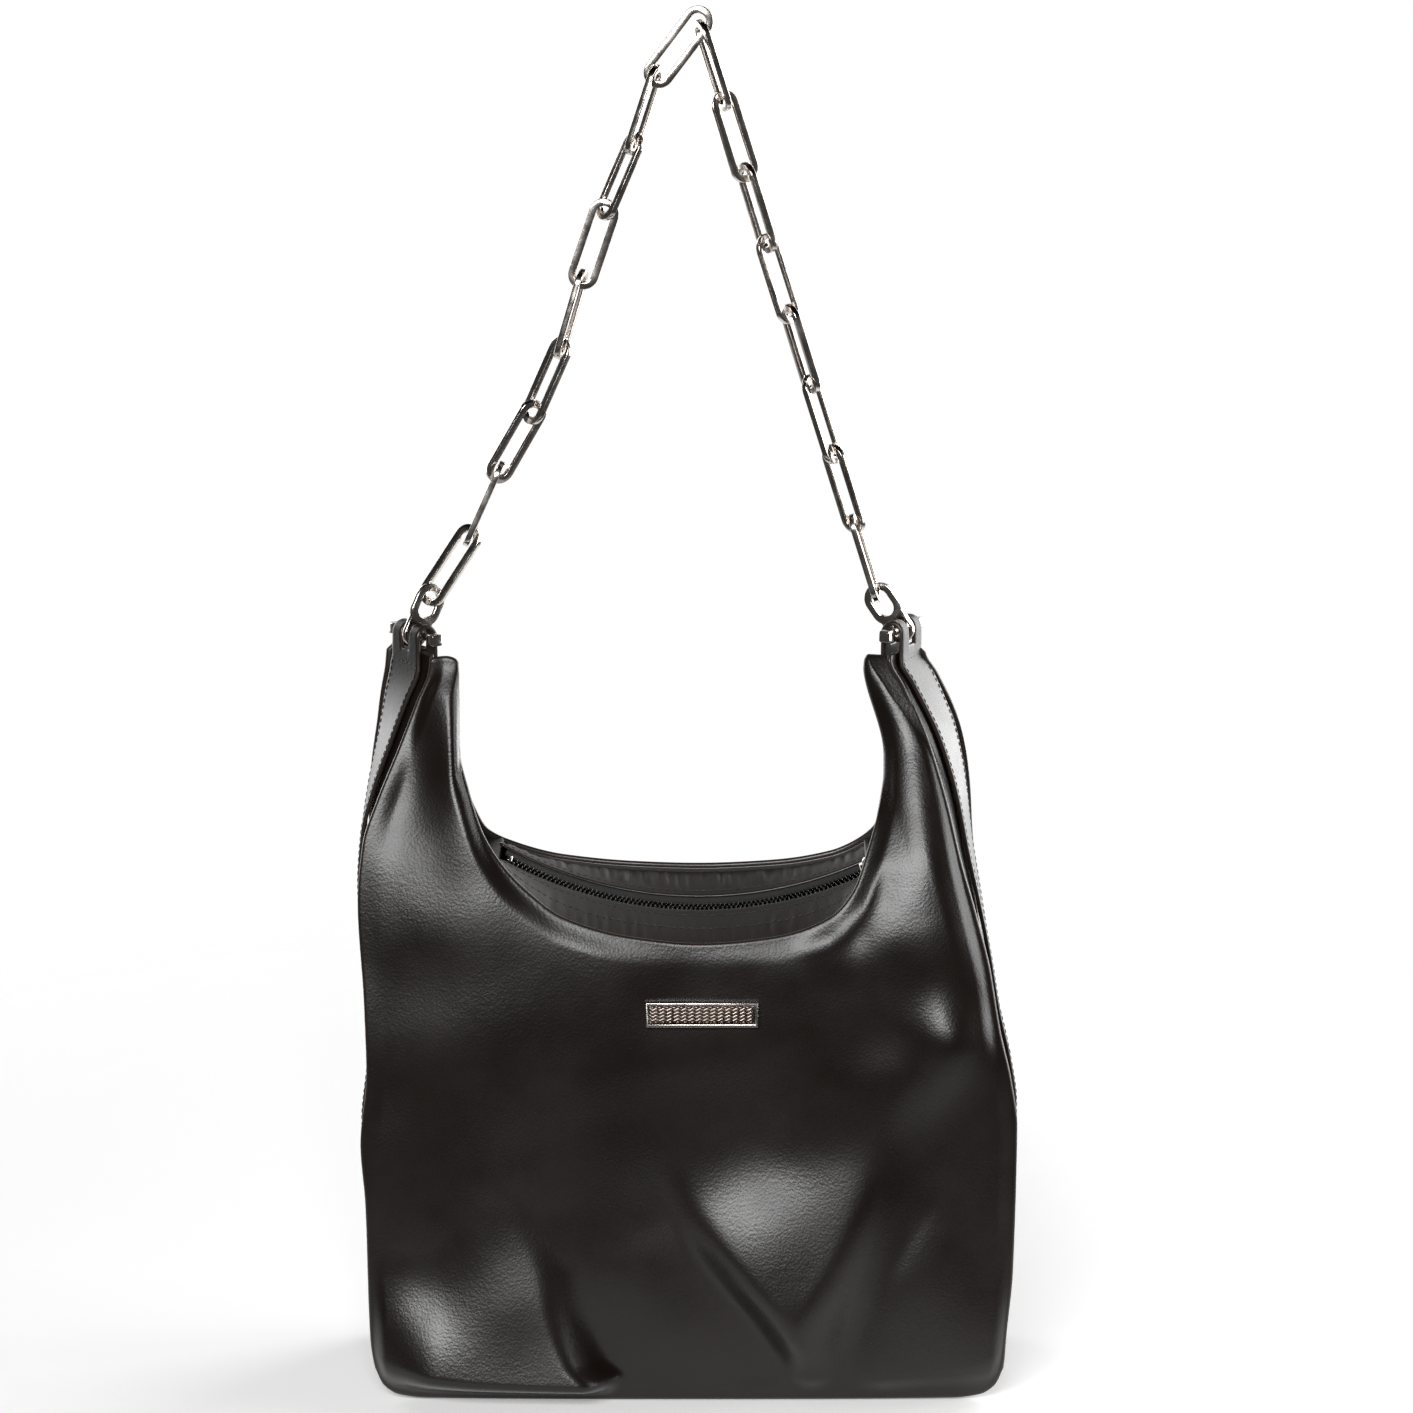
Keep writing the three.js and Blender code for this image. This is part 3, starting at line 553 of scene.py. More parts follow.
def leather_sheet(name, points, faces, thickness, materials):
    """A sheet of that thickness around a grid of points, with rounded edges. Its normals
    point to the outside; material 1 is the edge's and 2 the inner face's."""
    points, faces = compact(points, faces)
    normals = vertex_normals(points, faces)
    border, outward = open_border(points, faces, normals)
    rim = sorted({v for edge in border for v in edge})
    half = thickness / 2
    count, last = len(points), len(EDGE_TURNS)
    verts = [points + normals * half, points - normals * half]
    ring_at = {}
    for k, turn in enumerate(EDGE_TURNS):
        c, s = math.cos(math.radians(turn)), math.sin(math.radians(turn))
        verts.append((points + half * (c * normals + s * outward))[rim])
        for n, v in enumerate(rim):
            ring_at[(k, v)] = 2 * count + k * len(rim) + n

    def level(k, v):
        """Number of point v's copy k steps round the edge: -1 outer face, last inner face."""
        if k < 0:
            return v
        return count + v if k == last else ring_at[(k, v)]

    all_faces = [tuple(f) for f in faces] + [tuple(f[::-1] + count) for f in faces]
    slots = [0] * len(faces) + [2 if len(materials) > 2 else 0] * len(faces)
    for a, b in border:
        for k in range(-1, last):
            all_faces.append((level(k, b), level(k, a), level(k + 1, a), level(k + 1, b)))
            slots.append(min(1, len(materials) - 1))
    return mesh_object(name, np.concatenate(verts), all_faces, materials, slots)


def sheet_piece(
    name, surface, rows, columns, thickness, materials, node=None, keep=None, flip=False
):
    """A finished piece from surface(u, v) over rows of u and columns of v."""
    u, v = np.meshgrid(np.asarray(rows), np.asarray(columns), indexing="ij")
    faces = grid_faces(len(rows), len(columns), keep)
    if flip:
        faces = [f[::-1] for f in faces]
    hand_over(leather_sheet(name, surface(u, v), faces, thickness, materials), node=node)


def between(places, run, rows):
    """The rows at places along run, on straight lines between them."""
    return np.stack([np.interp(places, run, rows[:, k]) for k in range(3)], axis=-1)


def along_path(path, spacing):
    """Points, unit directions and shares of the run at equal steps along a dense path."""
    path = np.asarray(path, float)
    run = np.concatenate([[0], np.cumsum(np.linalg.norm(np.diff(path, axis=0), axis=1))])
    count = max(int(run[-1] / spacing), 1)
    places = (np.arange(count) + 0.5) * run[-1] / count
    ahead = between(places + 0.3, run, path) - between(places - 0.3, run, path)
    return between(places, run, path), unit(ahead), places / run[-1]


def ring_faces(base, rings, around):
    """Faces between rings of points that follow each other from base, and both end caps."""
    faces = []
    for i in range(rings - 1):
        row, above = base + i * around, base + (i + 1) * around
        for k in range(around):
            m = (k + 1) % around
            faces.append((row + k, above + k, above + m, row + m))
    faces.append([base + k for k in range(around)])
    faces.append([base + (rings - 1) * around + k for k in reversed(range(around))])
    return faces


STITCH = {"pitch": 3.1, "length": 2.2, "radius": 0.27}
STITCH_SIDES = 6
# Along a stitch: [share of its length, rise and size in radii].
STITCH_STATIONS = ((-0.5, -0.45, 0.55), (-0.28, 0.1, 1.0), (0.28, 0.1, 1.0), (0.5, -0.45, 0.55))


def stitches(name, paths):
    """Rows of sewn stitches. Each path is (points, outward normals), both dense."""
    verts, faces = [], []
    for path, normals in paths:
        at, ahead, share = along_path(path, STITCH["pitch"])
        normals = np.asarray(normals, float)
        up = unit(between(share, np.linspace(0, 1, len(normals)), normals))
        wide = unit(np.cross(ahead, up))
        for p, a, n, w in zip(at, ahead, up, wide):
            base = len(verts)
            for shift, rise, size in STITCH_STATIONS:
                centre = p + a * shift * STITCH["length"] + n * rise * STITCH["radius"]
                for k in range(STITCH_SIDES):
                    turn = 2 * math.pi * k / STITCH_SIDES
                    arm = w * math.cos(turn) + n * math.sin(turn)
                    verts.append(centre + arm * STITCH["radius"] * size)
            faces += ring_faces(base, len(STITCH_STATIONS), STITCH_SIDES)
    obj = mesh_object(name, verts, faces, [THREAD])
    tidy_normals(obj)
    hand_over(obj)


def tidy_normals(obj):
    bm = bmesh.new()
    bm.from_mesh(obj.data)
    bmesh.ops.remove_doubles(bm, verts=bm.verts, dist=1e-6)
    bmesh.ops.recalc_face_normals(bm, faces=bm.faces)
    bm.to_mesh(obj.data)
    bm.free()


def normals_on(surface, s, t):
    """Normals of surface(s, t), pointing to the left of s crossed with t."""
    e = 1e-3
    ds = surface(np.clip(s + e, 0, 1), t) - surface(np.clip(s - e, 0, 1), t)
    dt = surface(s, np.clip(t + e, 0, 1)) - surface(s, np.clip(t - e, 0, 1))
    return unit(np.cross(ds, dt))


# ------------------------------ materials
class Shading:
    """Nodes of one node tree, wired up by short calls."""

    def __init__(self, tree, main):
        self.nodes, self.links = tree.nodes, tree.links
        self.main = tree.nodes[main]

    def feed(self, node, **sockets):
        """Sets inputs of a node, with _ for a space in their names, to numbers or outputs."""
        for key, value in sockets.items():
            self.give(node, key.replace("_", " "), value)
        return node

    def give(self, node, key, value):
        if isinstance(value, bpy.types.NodeSocket):
            self.links.new(value, node.inputs[key])
        else:
            node.inputs[key].default_value = value

    def add(self, kind, **sockets):
        return self.feed(self.nodes.new("ShaderNode" + kind), **sockets)

    def set(self, **sockets):
        self.feed(self.main, **sockets)

    def object_space(self, stretch=(1, 1, 1)):
        place = self.add("TexCoord").outputs["Object"]
        return self.add("Mapping", Scale=stretch, Vector=place).outputs["Vector"]

    def noise(self, vector, scale, detail, roughness=0.5):
        node = self.add(
            "TexNoise", Scale=scale, Detail=detail, Roughness=roughness, Vector=vector
        )
        return node.outputs["Fac"]

    def ramp(self, value, low, high, at=(0.3, 0.7)):
        """Maps value, from the first to the second of at, to low to high."""
        span = {"From_Min": at[0], "From_Max": at[1], "To_Min": low, "To_Max": high}
        return self.add("MapRange", Value=value, **span).outputs["Result"]

    def blend(self, value, dark, light):
        node = self.nodes.new("ShaderNodeMix")
        node.data_type = "RGBA"
        self.feed(node, A=(*dark, 1), B=(*light, 1), Factor=value)
        return node.outputs["Result"]

    def bumps(self, layers):
        """A chain of bumps from (height socket, strength, distance in metres)."""
        normal = {}
        for height, strength, distance in layers:
            node = self.add("Bump", Strength=strength, Distance=distance, Height=height, **normal)
            normal = {"Normal": node.outputs["Normal"]}
        self.set(**normal)


def new_material(name):
    material = bpy.data.materials.new(name)
    material.use_nodes = True
    return material, Shading(material.node_tree, "Principled BSDF")


# Strength and depth in metres of each layer of the leather's surface.
CREASE_BUMP, GRAIN_BUMP, PORE_BUMP = (0.34, 0.00015), (0.5, 0.00012), (0.3, 0.00004)


def leather(name, dark, light, roughness, grain=1.0, specular=0.5):
    """Dressed cowhide: a fine pebbled grain, faint pores and an uneven polish."""
    material, m = new_material(name)
    vector = m.object_space()
    pebbles = m.add("TexVoronoi", Scale=950, Vector=vector)
    pebbles.feature = "SMOOTH_F1"
    pores = m.noise(vector, 2600, 4)
    patches = m.noise(vector, 26, 3)
    creases = m.noise(vector, 240, 5, 0.65)
    polish = m.ramp(patches, roughness - 0.05, roughness + 0.06)
    m.set(Base_Color=m.blend(patches, dark, light), Roughness=polish)
    m.set(Specular_IOR_Level=specular)
    layers = (creases, CREASE_BUMP), (pebbles.outputs["Distance"], GRAIN_BUMP), (pores, PORE_BUMP)
    m.bumps([(height, strength * grain, depth) for height, (strength, depth) in layers])
    return material


def polished_metal(name, colour, roughness):
    """Nickel-plated metal with faint hairline scratches and smears."""
    material, m = new_material(name)
    hair = m.noise(m.object_space((1, 1, 9)), 900, 4)
    smears = m.noise(m.object_space(), 130, 3)
    worn = tuple(c * 0.86 for c in colour)
    polish = m.ramp(smears, roughness * 0.6, roughness * 1.5)
    m.set(Base_Color=m.blend(smears, worn, colour), Roughness=polish, Metallic=1)
    m.bumps([(hair, 0.06, 0.00002)])
    return material


def woven(name, dark, light, threads_per_metre, roughness=0.85, depth=0.00012):
    material, m = new_material(name)
    vector = m.object_space()
    heights = []
    for direction in ("X", "Y", "Z"):
        wave = m.add("TexWave", Scale=threads_per_metre, Distortion=0.6, Vector=vector)
        wave.bands_direction = direction
        heights.append(wave.outputs["Fac"])
    mottle = m.noise(vector, 300, 4)
    m.set(Base_Color=m.blend(mottle, dark, light), Roughness=roughness, Sheen_Weight=0.15)
    m.bumps([(h, 0.35, depth) for h in heights])
    return material


def fibreboard(name, dark, light):
    material, m = new_material(name)
    fibres = m.noise(m.object_space((1, 6, 1)), 420, 6, 0.7)
    m.set(Base_Color=m.blend(fibres, dark, light), Roughness=0.85)
    m.bumps([(fibres, 0.4, 0.0002)])
    return material


BODY_LEATHER = leather("body_leather", (0.0054, 0.0034, 0.0027), (0.0108, 0.0069, 0.0054), 0.32)
STRAP_LEATHER = leather("strap_leather", (0.006, 0.0045, 0.004), (0.010, 0.0075, 0.0065), 0.38, 0.6)
FACING = leather("facing_leather", (0.005, 0.0034, 0.0029), (0.009, 0.006, 0.005), 0.33, 1.2, 0.4)
EDGE_PAINT = leather("edge_paint", (0.020, 0.014, 0.012), (0.034, 0.025, 0.021), 0.26, 0.25)
INNER_LEATHER = leather("inner_leather", (0.016, 0.012, 0.010), (0.024, 0.018, 0.015), 0.6, 0.8)
THREAD = woven("thread", (0.006, 0.005, 0.005), (0.014, 0.011, 0.010), 1800, 0.55, 0.00005)
TAPE = woven("zip_tape_cloth", (0.006, 0.006, 0.006), (0.012, 0.011, 0.011), 1500)
LINING = woven("lining_cloth", (0.035, 0.027, 0.023), (0.055, 0.043, 0.037), 1100)
BOARD = fibreboard("fibreboard", (0.06, 0.055, 0.05), (0.12, 0.11, 0.10))
METAL = polished_metal("nickel_plate", (0.74, 0.69, 0.645), 0.17)
TEETH = polished_metal("zip_teeth_metal", (0.10, 0.095, 0.092), 0.28)
PEWTER = polished_metal("brushed_pewter", (0.20, 0.165, 0.145), 0.24)


# ------------------------------ the large panels
FACES = {"front": -1, "back": 1}


def steps(count, crowd=0.0):
    """0 to 1 in count steps, crowded towards both ends."""
    u = np.linspace(0, 1, count)
    return u - crowd * np.sin(2 * math.pi * u) / (2 * math.pi)


def cut(outer):
    """Materials of a leather sheet: its outer face, painted edge and inner face."""
    return [outer, EDGE_PAINT, INNER_LEATHER]


def large_panel(name, back):
    rows, columns = steps(231, 0.6), steps(171, 0.3)
    sheet_piece(
        f"{name}_leather", panel_surface(back), rows, columns, LEATHER, cut(BODY_LEATHER),
        f"{name}_panel", flip=back > 0,
    )


for name, back in FACES.items():
    large_panel(name, back)

# ------------------------------ gussets and straps
GUSSET_FOOT = 3.2
GUSSET_MARGIN = LEATHER / 2 + 0.5
SIDE_SAG = 1.6
SIDE_RIPPLE = 0.5
SIDE_SEED, SIDE_WAVES = 21, (6, (25, 60))
STIFF_FOOT, STIFF_TOP = 25, 30  # lengths at the ends over which the leather stays flat

STRAP_HALF = STRAP_HALF_WIDTH - SIDE_LEATHER / 2  # to the start of the rounded edge
SLOT_HALF = SLOT_HALF_WIDTH + SIDE_LEATHER / 2
EAR_GATHER = 0.16  # how much the strap narrows over the rod
EAR_BEFORE, EAR_AFTER = 6, 8  # run over which it does so, below the rod outside and inside
TAB_SLIM = 0.09
STITCH_INSET = 0.9
STITCH_GAP = 1.2  # from the tab down to the row that crosses the strap
EDGE_ROW_START, FOOT_ROW = 2, 3  # mm above the strap's foot


def gusset_surface(side):
    """u from front to back, v upwards."""

    def at(u, v):
        z = mix(GUSSET_FOOT, GUSSET_TOP, v)
        reach = half_depth(z)[..., 0] - GUSSET_MARGIN
        across = mix(-reach, reach, u)
        free = np.clip((np.abs(across) - STRAP_HALF_WIDTH) / (reach - STRAP_HALF_WIDTH), 0, 1)
        above_foot = smooth(0, STIFF_FOOT, z)
        uneven = SIDE_RIPPLE * free * ripple(across, z, SIDE_SEED + side["sign"], *SIDE_WAVES)
        sag = SIDE_SAG * np.sin(math.pi * free) * smooth(0, STIFF_TOP, GUSSET_TOP - z)
        return side_point(side, z, across, -STRAP_INSET - (sag + uneven) * above_foot)

    return at


def gusset(name, side):
    sheet_piece(
        f"{name}_side_leather", gusset_surface(side), steps(49), steps(121), SIDE_LEATHER,
        cut(BODY_LEATHER), f"{name}_gusset", flip=side["sign"] < 0,
    )


def rod_axes(side):
    """Along the rod to the back, and outwards from the bag."""
    turn = math.radians(side["at"](side["rod"][2])[2])
    along = np.array([side["sign"] * math.sin(turn), math.cos(turn), 0])
    out = np.array([side["sign"] * math.cos(turn), -math.sin(turn), 0])
    return along, out


OVER_ROD = math.pi * FOLD_RADIUS  # run of the leather over the rod


def strap_surface(side):
    """across in mm and run in mm along the leather from its foot: up the side, over the
    rod and down inside."""
    rod = side["rod"]
    rise = rod[2] - STRAP_FOOT
    along, out = rod_axes(side)

    def at(across, run):
        z = np.clip(STRAP_FOOT + run, STRAP_FOOT, rod[2])
        straight = side_point(side, z, across, 0)
        over = np.clip((run - rise) / OVER_ROD, 0, 1) * math.pi
        down = np.clip(run - rise - OVER_ROD, 0, FOLD_TAIL)
        looped = (
            rod
            + FOLD_RADIUS * np.cos(over)[..., None] * out
            + across[..., None] * along
            + stack(0, 0, FOLD_RADIUS * np.sin(over) - down)
        )
        return np.where((run > rise)[..., None], looped, straight)

    return at, rise


def spaced(*stretches):
    """Places along stretches of (start, end, count), without repeats."""
    return np.unique(np.concatenate([np.linspace(*each) for each in stretches]))


def strap(name, side):
    surface, rise = strap_surface(side)
    low, high = rise - SLOT_DEPTH, rise + OVER_ROD + SLOT_DEPTH
    columns = spaced(
        (-STRAP_HALF, -SLOT_HALF, 8), (-SLOT_HALF, SLOT_HALF, 5), (SLOT_HALF, STRAP_HALF, 8)
    )
    runs = spaced((0, low, 90), (low, high, 34), (high, rise + OVER_ROD + FOLD_TAIL, 6))

    def keep(i, j):
        in_slot = abs(columns[i] + columns[i + 1]) / 2 < SLOT_HALF
        return not (in_slot and low < (runs[j] + runs[j + 1]) / 2 < high)

    def eared(u, v):
        """The leather narrows over the rod, which rounds the ears, and in the tab."""
        over = smooth(rise - EAR_BEFORE, rise + OVER_ROD / 2, v)
        over = over * smooth(0, OVER_ROD, rise + OVER_ROD + EAR_AFTER - v)
        middle = np.sign(u) * (STRAP_HALF + SLOT_HALF) / 2
        gather = np.where(np.abs(u) > SLOT_HALF - 0.01, EAR_GATHER * over, 0)
        tab = smooth(-0.5, 0.5, v - rise + TAB_DEPTH)
        slim = np.where(np.abs(u) > SLOT_HALF + 0.5, 1 - TAB_SLIM * tab, 1)
        return surface((u + (middle - u) * gather) * slim, v)

    sheet_piece(
        f"{name}_strap_leather", eared, columns, runs, SIDE_LEATHER, cut(STRAP_LEATHER),
        f"{name}_strap", keep, flip=side["sign"] < 0,
    )


def strap_stitches(name, side):
    """Both edges are stitched up to the tab, and a cross row holds the strap at each end."""
    surface, rise = strap_surface(side)
    inset = STRAP_HALF - STITCH_INSET
    tab = rise - TAB_DEPTH - STITCH_GAP
    run = np.linspace(EDGE_ROW_START, tab, 300)
    across = np.linspace(-inset, inset, 30)
    paths = []
    for u, v in ((-inset + 0 * run, run), (inset + 0 * run, run), (across, tab + 0 * across),
                 (across, FOOT_ROW + 0 * across)):
        du = surface(u + 0.3, v) - surface(u - 0.3, v)
        dv = surface(u, v + 0.3) - surface(u, v - 0.3)
        normal = side["sign"] * unit(np.cross(du, dv))
        paths.append((surface(u, v) + normal * SIDE_LEATHER / 2, normal))
    stitches(f"{name}_strap_stitches", paths)


for name, side in SIDES.items():
    gusset(name, side)
    strap(name, side)
    strap_stitches(name, side)

# ------------------------------ mouth ends and facings
END_RISE = (236, 241)  # heights of the inner and the outer edge
END_SAG = 4
END_INNER_SAG = 0.4  # share of it beside the zip
END_CURVE = 1.3
END_GAPS = {"facing": 0.5, "side": 5.5, "panel": LEATHER / 2 + 0.9}

CRINKLE = {-1: 0.12, 1: 0.42}  # height of the puckers, mm
CRINKLE_START, CRINKLE_SPAN, CRINKLE_POWER = 0.22, 0.62, 0.7  # shares of the facing
CRINKLE_SEED, CRINKLE_WAVES = 31, (9, (3.2, 8.5))
CRINKLE_STRETCH = 4  # mm of height over which the puckers change
FACING_EDGE = 6.2
FACING_LIFT = 1.35
FACING_BELLY = 0.9
FACING_CURVE = 1.15
FACING_GAP = 0.25  # to the large panel's leather
RIM_SETBACK = 0.9
TURNED, TURN_DEPTH = 0.2, 2.2  # share of the facing that hangs straight down, and how far


def mouth_end_surface(side):
    """The leather that closes the mouth between the zip's end and the side: u from front to
    back, v outwards."""
    sign = side["sign"]
    inner = (FACING_LEFT if sign < 0 else FACING_RIGHT) + sign * END_GAPS["facing"]
    outer = side["at"](np.array(END_RISE[1]))[0] - sign * END_GAPS["side"]

    def at(u, v):
        u, v = np.broadcast_arrays(np.asarray(u, float), np.asarray(v, float))
        x = mix(inner, outer, v)
        sag = END_SAG * np.sin(math.pi * u) * mix(END_INNER_SAG, 1, v)
        z = mix(*END_RISE, v**END_CURVE) - sag
        front = panel_y(x, z, -1) - np.minimum(relief(x, z, -1), 0) + END_GAPS["panel"]
        rear = panel_y(x, z, 1) + np.minimum(relief(x, z, 1), 0) - END_GAPS["panel"]
        return stack(x, mix(front, rear, u), z)

    return at


def mouth_end(name, side):
    sheet_piece(
        f"{name}_mouth_end", mouth_end_surface(side), steps(41), steps(41), FACING_LEATHER,
        cut(FACING), flip=side["sign"] > 0,
    )


def rim_height(x, back):
    rim = RIMS[back](np.linspace(0, 1, 1200))
    return np.interp(x, rim[:, 0], rim[:, 1])


def facing_surface(back):
    """u from left to right, v from the rim down and in to the zip."""

    def at(u, v):
        u, v = np.broadcast_arrays(np.asarray(u, float), np.asarray(v, float))
        x = mix(FACING_LEFT, FACING_RIGHT, u)
        top = rim_height(x, back) - RIM_SETBACK
        turn = top - TURN_DEPTH
        rim_y = panel_y(x, top, back) - back * (LEATHER / 2 + FACING_LEATHER / 2 + FACING_GAP)
        low = zip_height(x) + FACING_LIFT + back * FACING_EDGE * math.sin(math.radians(ZIP_LEAN))
        inwards = (v - TURNED) / (1 - TURNED)
        z = np.where(v < TURNED, mix(top, turn, v / TURNED), mix(turn, low, inwards))
        inwards = np.clip(inwards, 0, 1)
        y = mix(rim_y, back * FACING_EDGE, inwards**FACING_CURVE)
        share = np.clip((v - CRINKLE_START) / CRINKLE_SPAN, 0, 1)
        gather = np.sin(math.pi * share) ** CRINKLE_POWER
        wave = ripple(x, v * CRINKLE_STRETCH, CRINKLE_SEED + back, *CRINKLE_WAVES)
        pucker = wave * gather * CRINKLE[back]
        return stack(x, y, z + FACING_BELLY * np.sin(math.pi * inwards) + pucker)

    return at


STITCH_ROWS = {-1: (0.16, 0.62, 0.9), 1: (0.24, 0.9)}


def facing(name, back):
    surface = facing_surface(back)
    sheet_piece(
        f"{name}_facing_leather", surface, steps(201), steps(31), FACING_LEATHER, cut(FACING),
        f"{name}_facing", flip=back < 0,
    )
    paths = []
    for v in STITCH_ROWS[back]:
        u = np.linspace(0.004, 0.996, 400)
        up = back * normals_on(surface, u, v + 0 * u)
        up = up * np.sign(up[:, 2:3])
        paths.append((surface(u, v + 0 * u) + up * FACING_LEATHER / 2, up))
    stitches(f"{name}_facing_stitches", paths)


for name, side in SIDES.items():
    mouth_end(name, side)
for name, back in FACES.items():
    facing(name, back)

# ------------------------------ zip
TAPE_INNER, TAPE_OUTER, TAPE_THICK = 2.6, 8.4, 0.8
TOOTH_SIZE = (1.25, 0.62, 1.05)  # half its width, length and height
TOOTH_SHIFT, TOOTH_RISE = 1.35, 0.1
TOOTH_RINGS, TOOTH_SIDES = 5, 8


def zip_tape(name, back):
    def at(u, v):
        angle = mix(-ZIP_HALF_ANGLE, ZIP_HALF_ANGLE, u)
        return zip_point(angle, back * mix(TAPE_INNER, TAPE_OUTER, v))

    sheet_piece(
        f"zip_tape_{name}_cloth", at, steps(81), steps(5), TAPE_THICK, [TAPE],
        f"zip_tape_{name}", flip=back < 0,
    )


def tooth(centre, wide, ahead, up):
    """Rings of points of one rounded tooth, a squashed ball."""
    width, length, height = TOOTH_SIZE
    points = []
    for i in range(TOOTH_RINGS):
        polar = math.pi * (i + 0.5) / TOOTH_RINGS
        for k in range(TOOTH_SIDES):
            turn = 2 * math.pi * k / TOOTH_SIDES
            arm = ahead * length * math.cos(turn) + up * height * math.sin(turn)
            points.append(centre + wide * width * math.cos(polar) + arm * math.sin(polar))
    return points


def zip_teeth(name, back):
    points, faces = [], []
    step = math.degrees(TOOTH_PITCH / ZIP_RADIUS)
    offset = step / 4 * back
    lean = math.radians(ZIP_LEAN)
    for angle in np.arange(-TEETH_HALF_ANGLE + step / 2, TEETH_HALF_ANGLE - step / 4, step):
        a = math.radians(angle + offset)
        ahead = np.array([math.cos(a), 0, math.sin(a)])
        upright = np.array([-math.sin(a), 0, math.cos(a)])
        up = upright * math.cos(lean) - np.array([0, math.sin(lean), 0])
        centre = zip_point(angle + offset, back * TOOTH_SHIFT, TOOTH_RISE)
        faces += ring_faces(len(points), TOOTH_RINGS, TOOTH_SIDES)
        points += tooth(centre, np.cross(up, ahead), ahead, up)
    teeth = mesh_object(f"zip_teeth_{name}_row", points, faces, [TEETH])
    tidy_normals(teeth)
    hand_over(teeth, node=f"zip_teeth_{name}")


for name, back in FACES.items():
    zip_tape(name, back)
    zip_teeth(name, back)

# ------------------------------ flat-cut metal
LINK_COUNT = 17
EDGE_BEVEL = 0.42
EYE_SLACK = 1  # the rod's eye is this much longer than round


def arc(centre, radius, start, end, count=20):
    turns = np.radians(np.linspace(start, end, count))
    return np.column_stack([centre[0] + radius * np.cos(turns), centre[1] + radius * np.sin(turns)])


def stadium(radius, low, high):
    return np.concatenate([arc((0, high), radius, 0, 180), arc((0, low), radius, 180, 360)])


def flat_plate(name, outlines, thickness, matrix, body):
    """A plate cut to closed outlines, the second and later being its holes, with bevelled
    edges. matrix puts its drawing, with its thickness along z, into the row frame. It
    replaces the one node of its body."""
    curve = bpy.data.curves.new(name, "CURVE")
    curve.dimensions = "2D"
    curve.fill_mode = "BOTH"
    curve.extrude = (thickness / 2 - EDGE_BEVEL) * MM
    curve.bevel_depth = EDGE_BEVEL * MM
    curve.bevel_resolution = 2
    curve.offset = -EDGE_BEVEL * MM
    for outline in outlines:
        loop = curve.splines.new("POLY")
        loop.points.add(len(outline) - 1)
        flat = np.column_stack([outline * MM, np.zeros(len(outline)), np.ones(len(outline))])
        loop.points.foreach_set("co", flat.ravel())
        loop.use_cyclic_u = True
    shaper = add_object(name + "_outline", curve)
    evaluated = shaper.evaluated_get(bpy.context.evaluated_depsgraph_get())
    mesh = bpy.data.meshes.new_from_object(evaluated)
    bpy.data.objects.remove(shaper)
    mesh.transform(matrix)
    mesh.materials.clear()
    mesh.materials.append(METAL)
    obj = add_object(name, mesh)
    tidy_normals(obj)
    smooth_shade(mesh, 32)
    hand_over(obj, body, body)


def frame_matrix(long, face, origin_mm):
    """Puts a drawing's y along long and its z along face, at a place in the row frame."""
    rows = np.eye(4)
    rows[:3] = np.column_stack([np.cross(long, face), long, face, origin_mm * MM])
    return Matrix(rows.tolist())


def link(node):
    points = node_points(node)
    face, _, long = own_axes(points).T
    reach = (np.ptp(points @ long) - LINK_WIDTH) / 2
    outlines = [stadium(LINK_WIDTH / 2 - inset, -reach, reach) for inset in (0, LINK_BAR)]
    middle = (points.max(axis=0) + points.min(axis=0)) / 2
    flat_plate(f"chain_{node}", outlines, LINK_THICK, frame_matrix(long, face, middle), node)


def ring(node, rod):
    """A long eye for the chain above a narrower one that hangs on the rod."""
    face, _, long = own_axes(node_points(node)).T
    low, high = RING_WINDOW_FOOT + RING_BAR, RING_TOP - RING_RADIUS
    turn = math.degrees(math.acos(TAIL_RADIUS / RING_RADIUS))
    outline = np.concatenate([
        arc((0, high), RING_RADIUS, 0, 180, 24),
        arc((0, low), RING_RADIUS, 180, 180 + turn, 10),
        arc((0, 0), TAIL_RADIUS, 180, 360, 20),
        arc((0, low), RING_RADIUS, 360 - turn, 360, 10),
    ])
    window_radius = RING_RADIUS - RING_BAR
    window = stadium(window_radius, RING_WINDOW_FOOT + window_radius, high)
    eye = stadium(TAIL_RADIUS - TAIL_BAR, 0, EYE_SLACK)
    place = frame_matrix(long * np.sign(long[2]), face, rod + ORIGIN)
    name = node.replace("ring", "strap_ring")
    flat_plate(name, [outline, window, eye], RING_THICK, place, node)


for number in range(1, LINK_COUNT + 1):
    link(f"link_{number:02d}")
for name, side in SIDES.items():
    ring(f"{name}_ring", side["rod"])


# ------------------------------ rods, caps and feet
OBLIQUE = (0.3, 0.9, 0.2)  # not parallel to any axis that is turned about


def turned(name, profile, axis, node, segments):
    """A turned metal piece in a node's place: profile is [radius, height along axis] in mm."""
    points = []
    centre = box_centre(node)
    axis = unit(np.asarray(axis, float))
    side = unit(np.cross(axis, OBLIQUE))
    other = np.cross(axis, side)
    for radius, height in profile:
        for k in range(segments):
            a = 2 * math.pi * k / segments
            arm = side * math.cos(a) + other * math.sin(a)
            points.append(centre + axis * height + radius * arm)
    faces = [f[::-1] for f in ring_faces(0, len(profile), segments)]
    obj = mesh_object(name, np.array(points) - ORIGIN, faces, [METAL], sharp=40)
    hand_over(obj, node=node)


def node_copy(name, node):
    """A copy of a CAD node as an object and an open bmesh whose corners are joined."""
    obj = add_object(name, frame["nodes"][node].data.copy())
    bm = bmesh.new()
    bm.from_mesh(obj.data)
    bmesh.ops.remove_doubles(bm, verts=bm.verts, dist=1e-6)
    return obj, bm


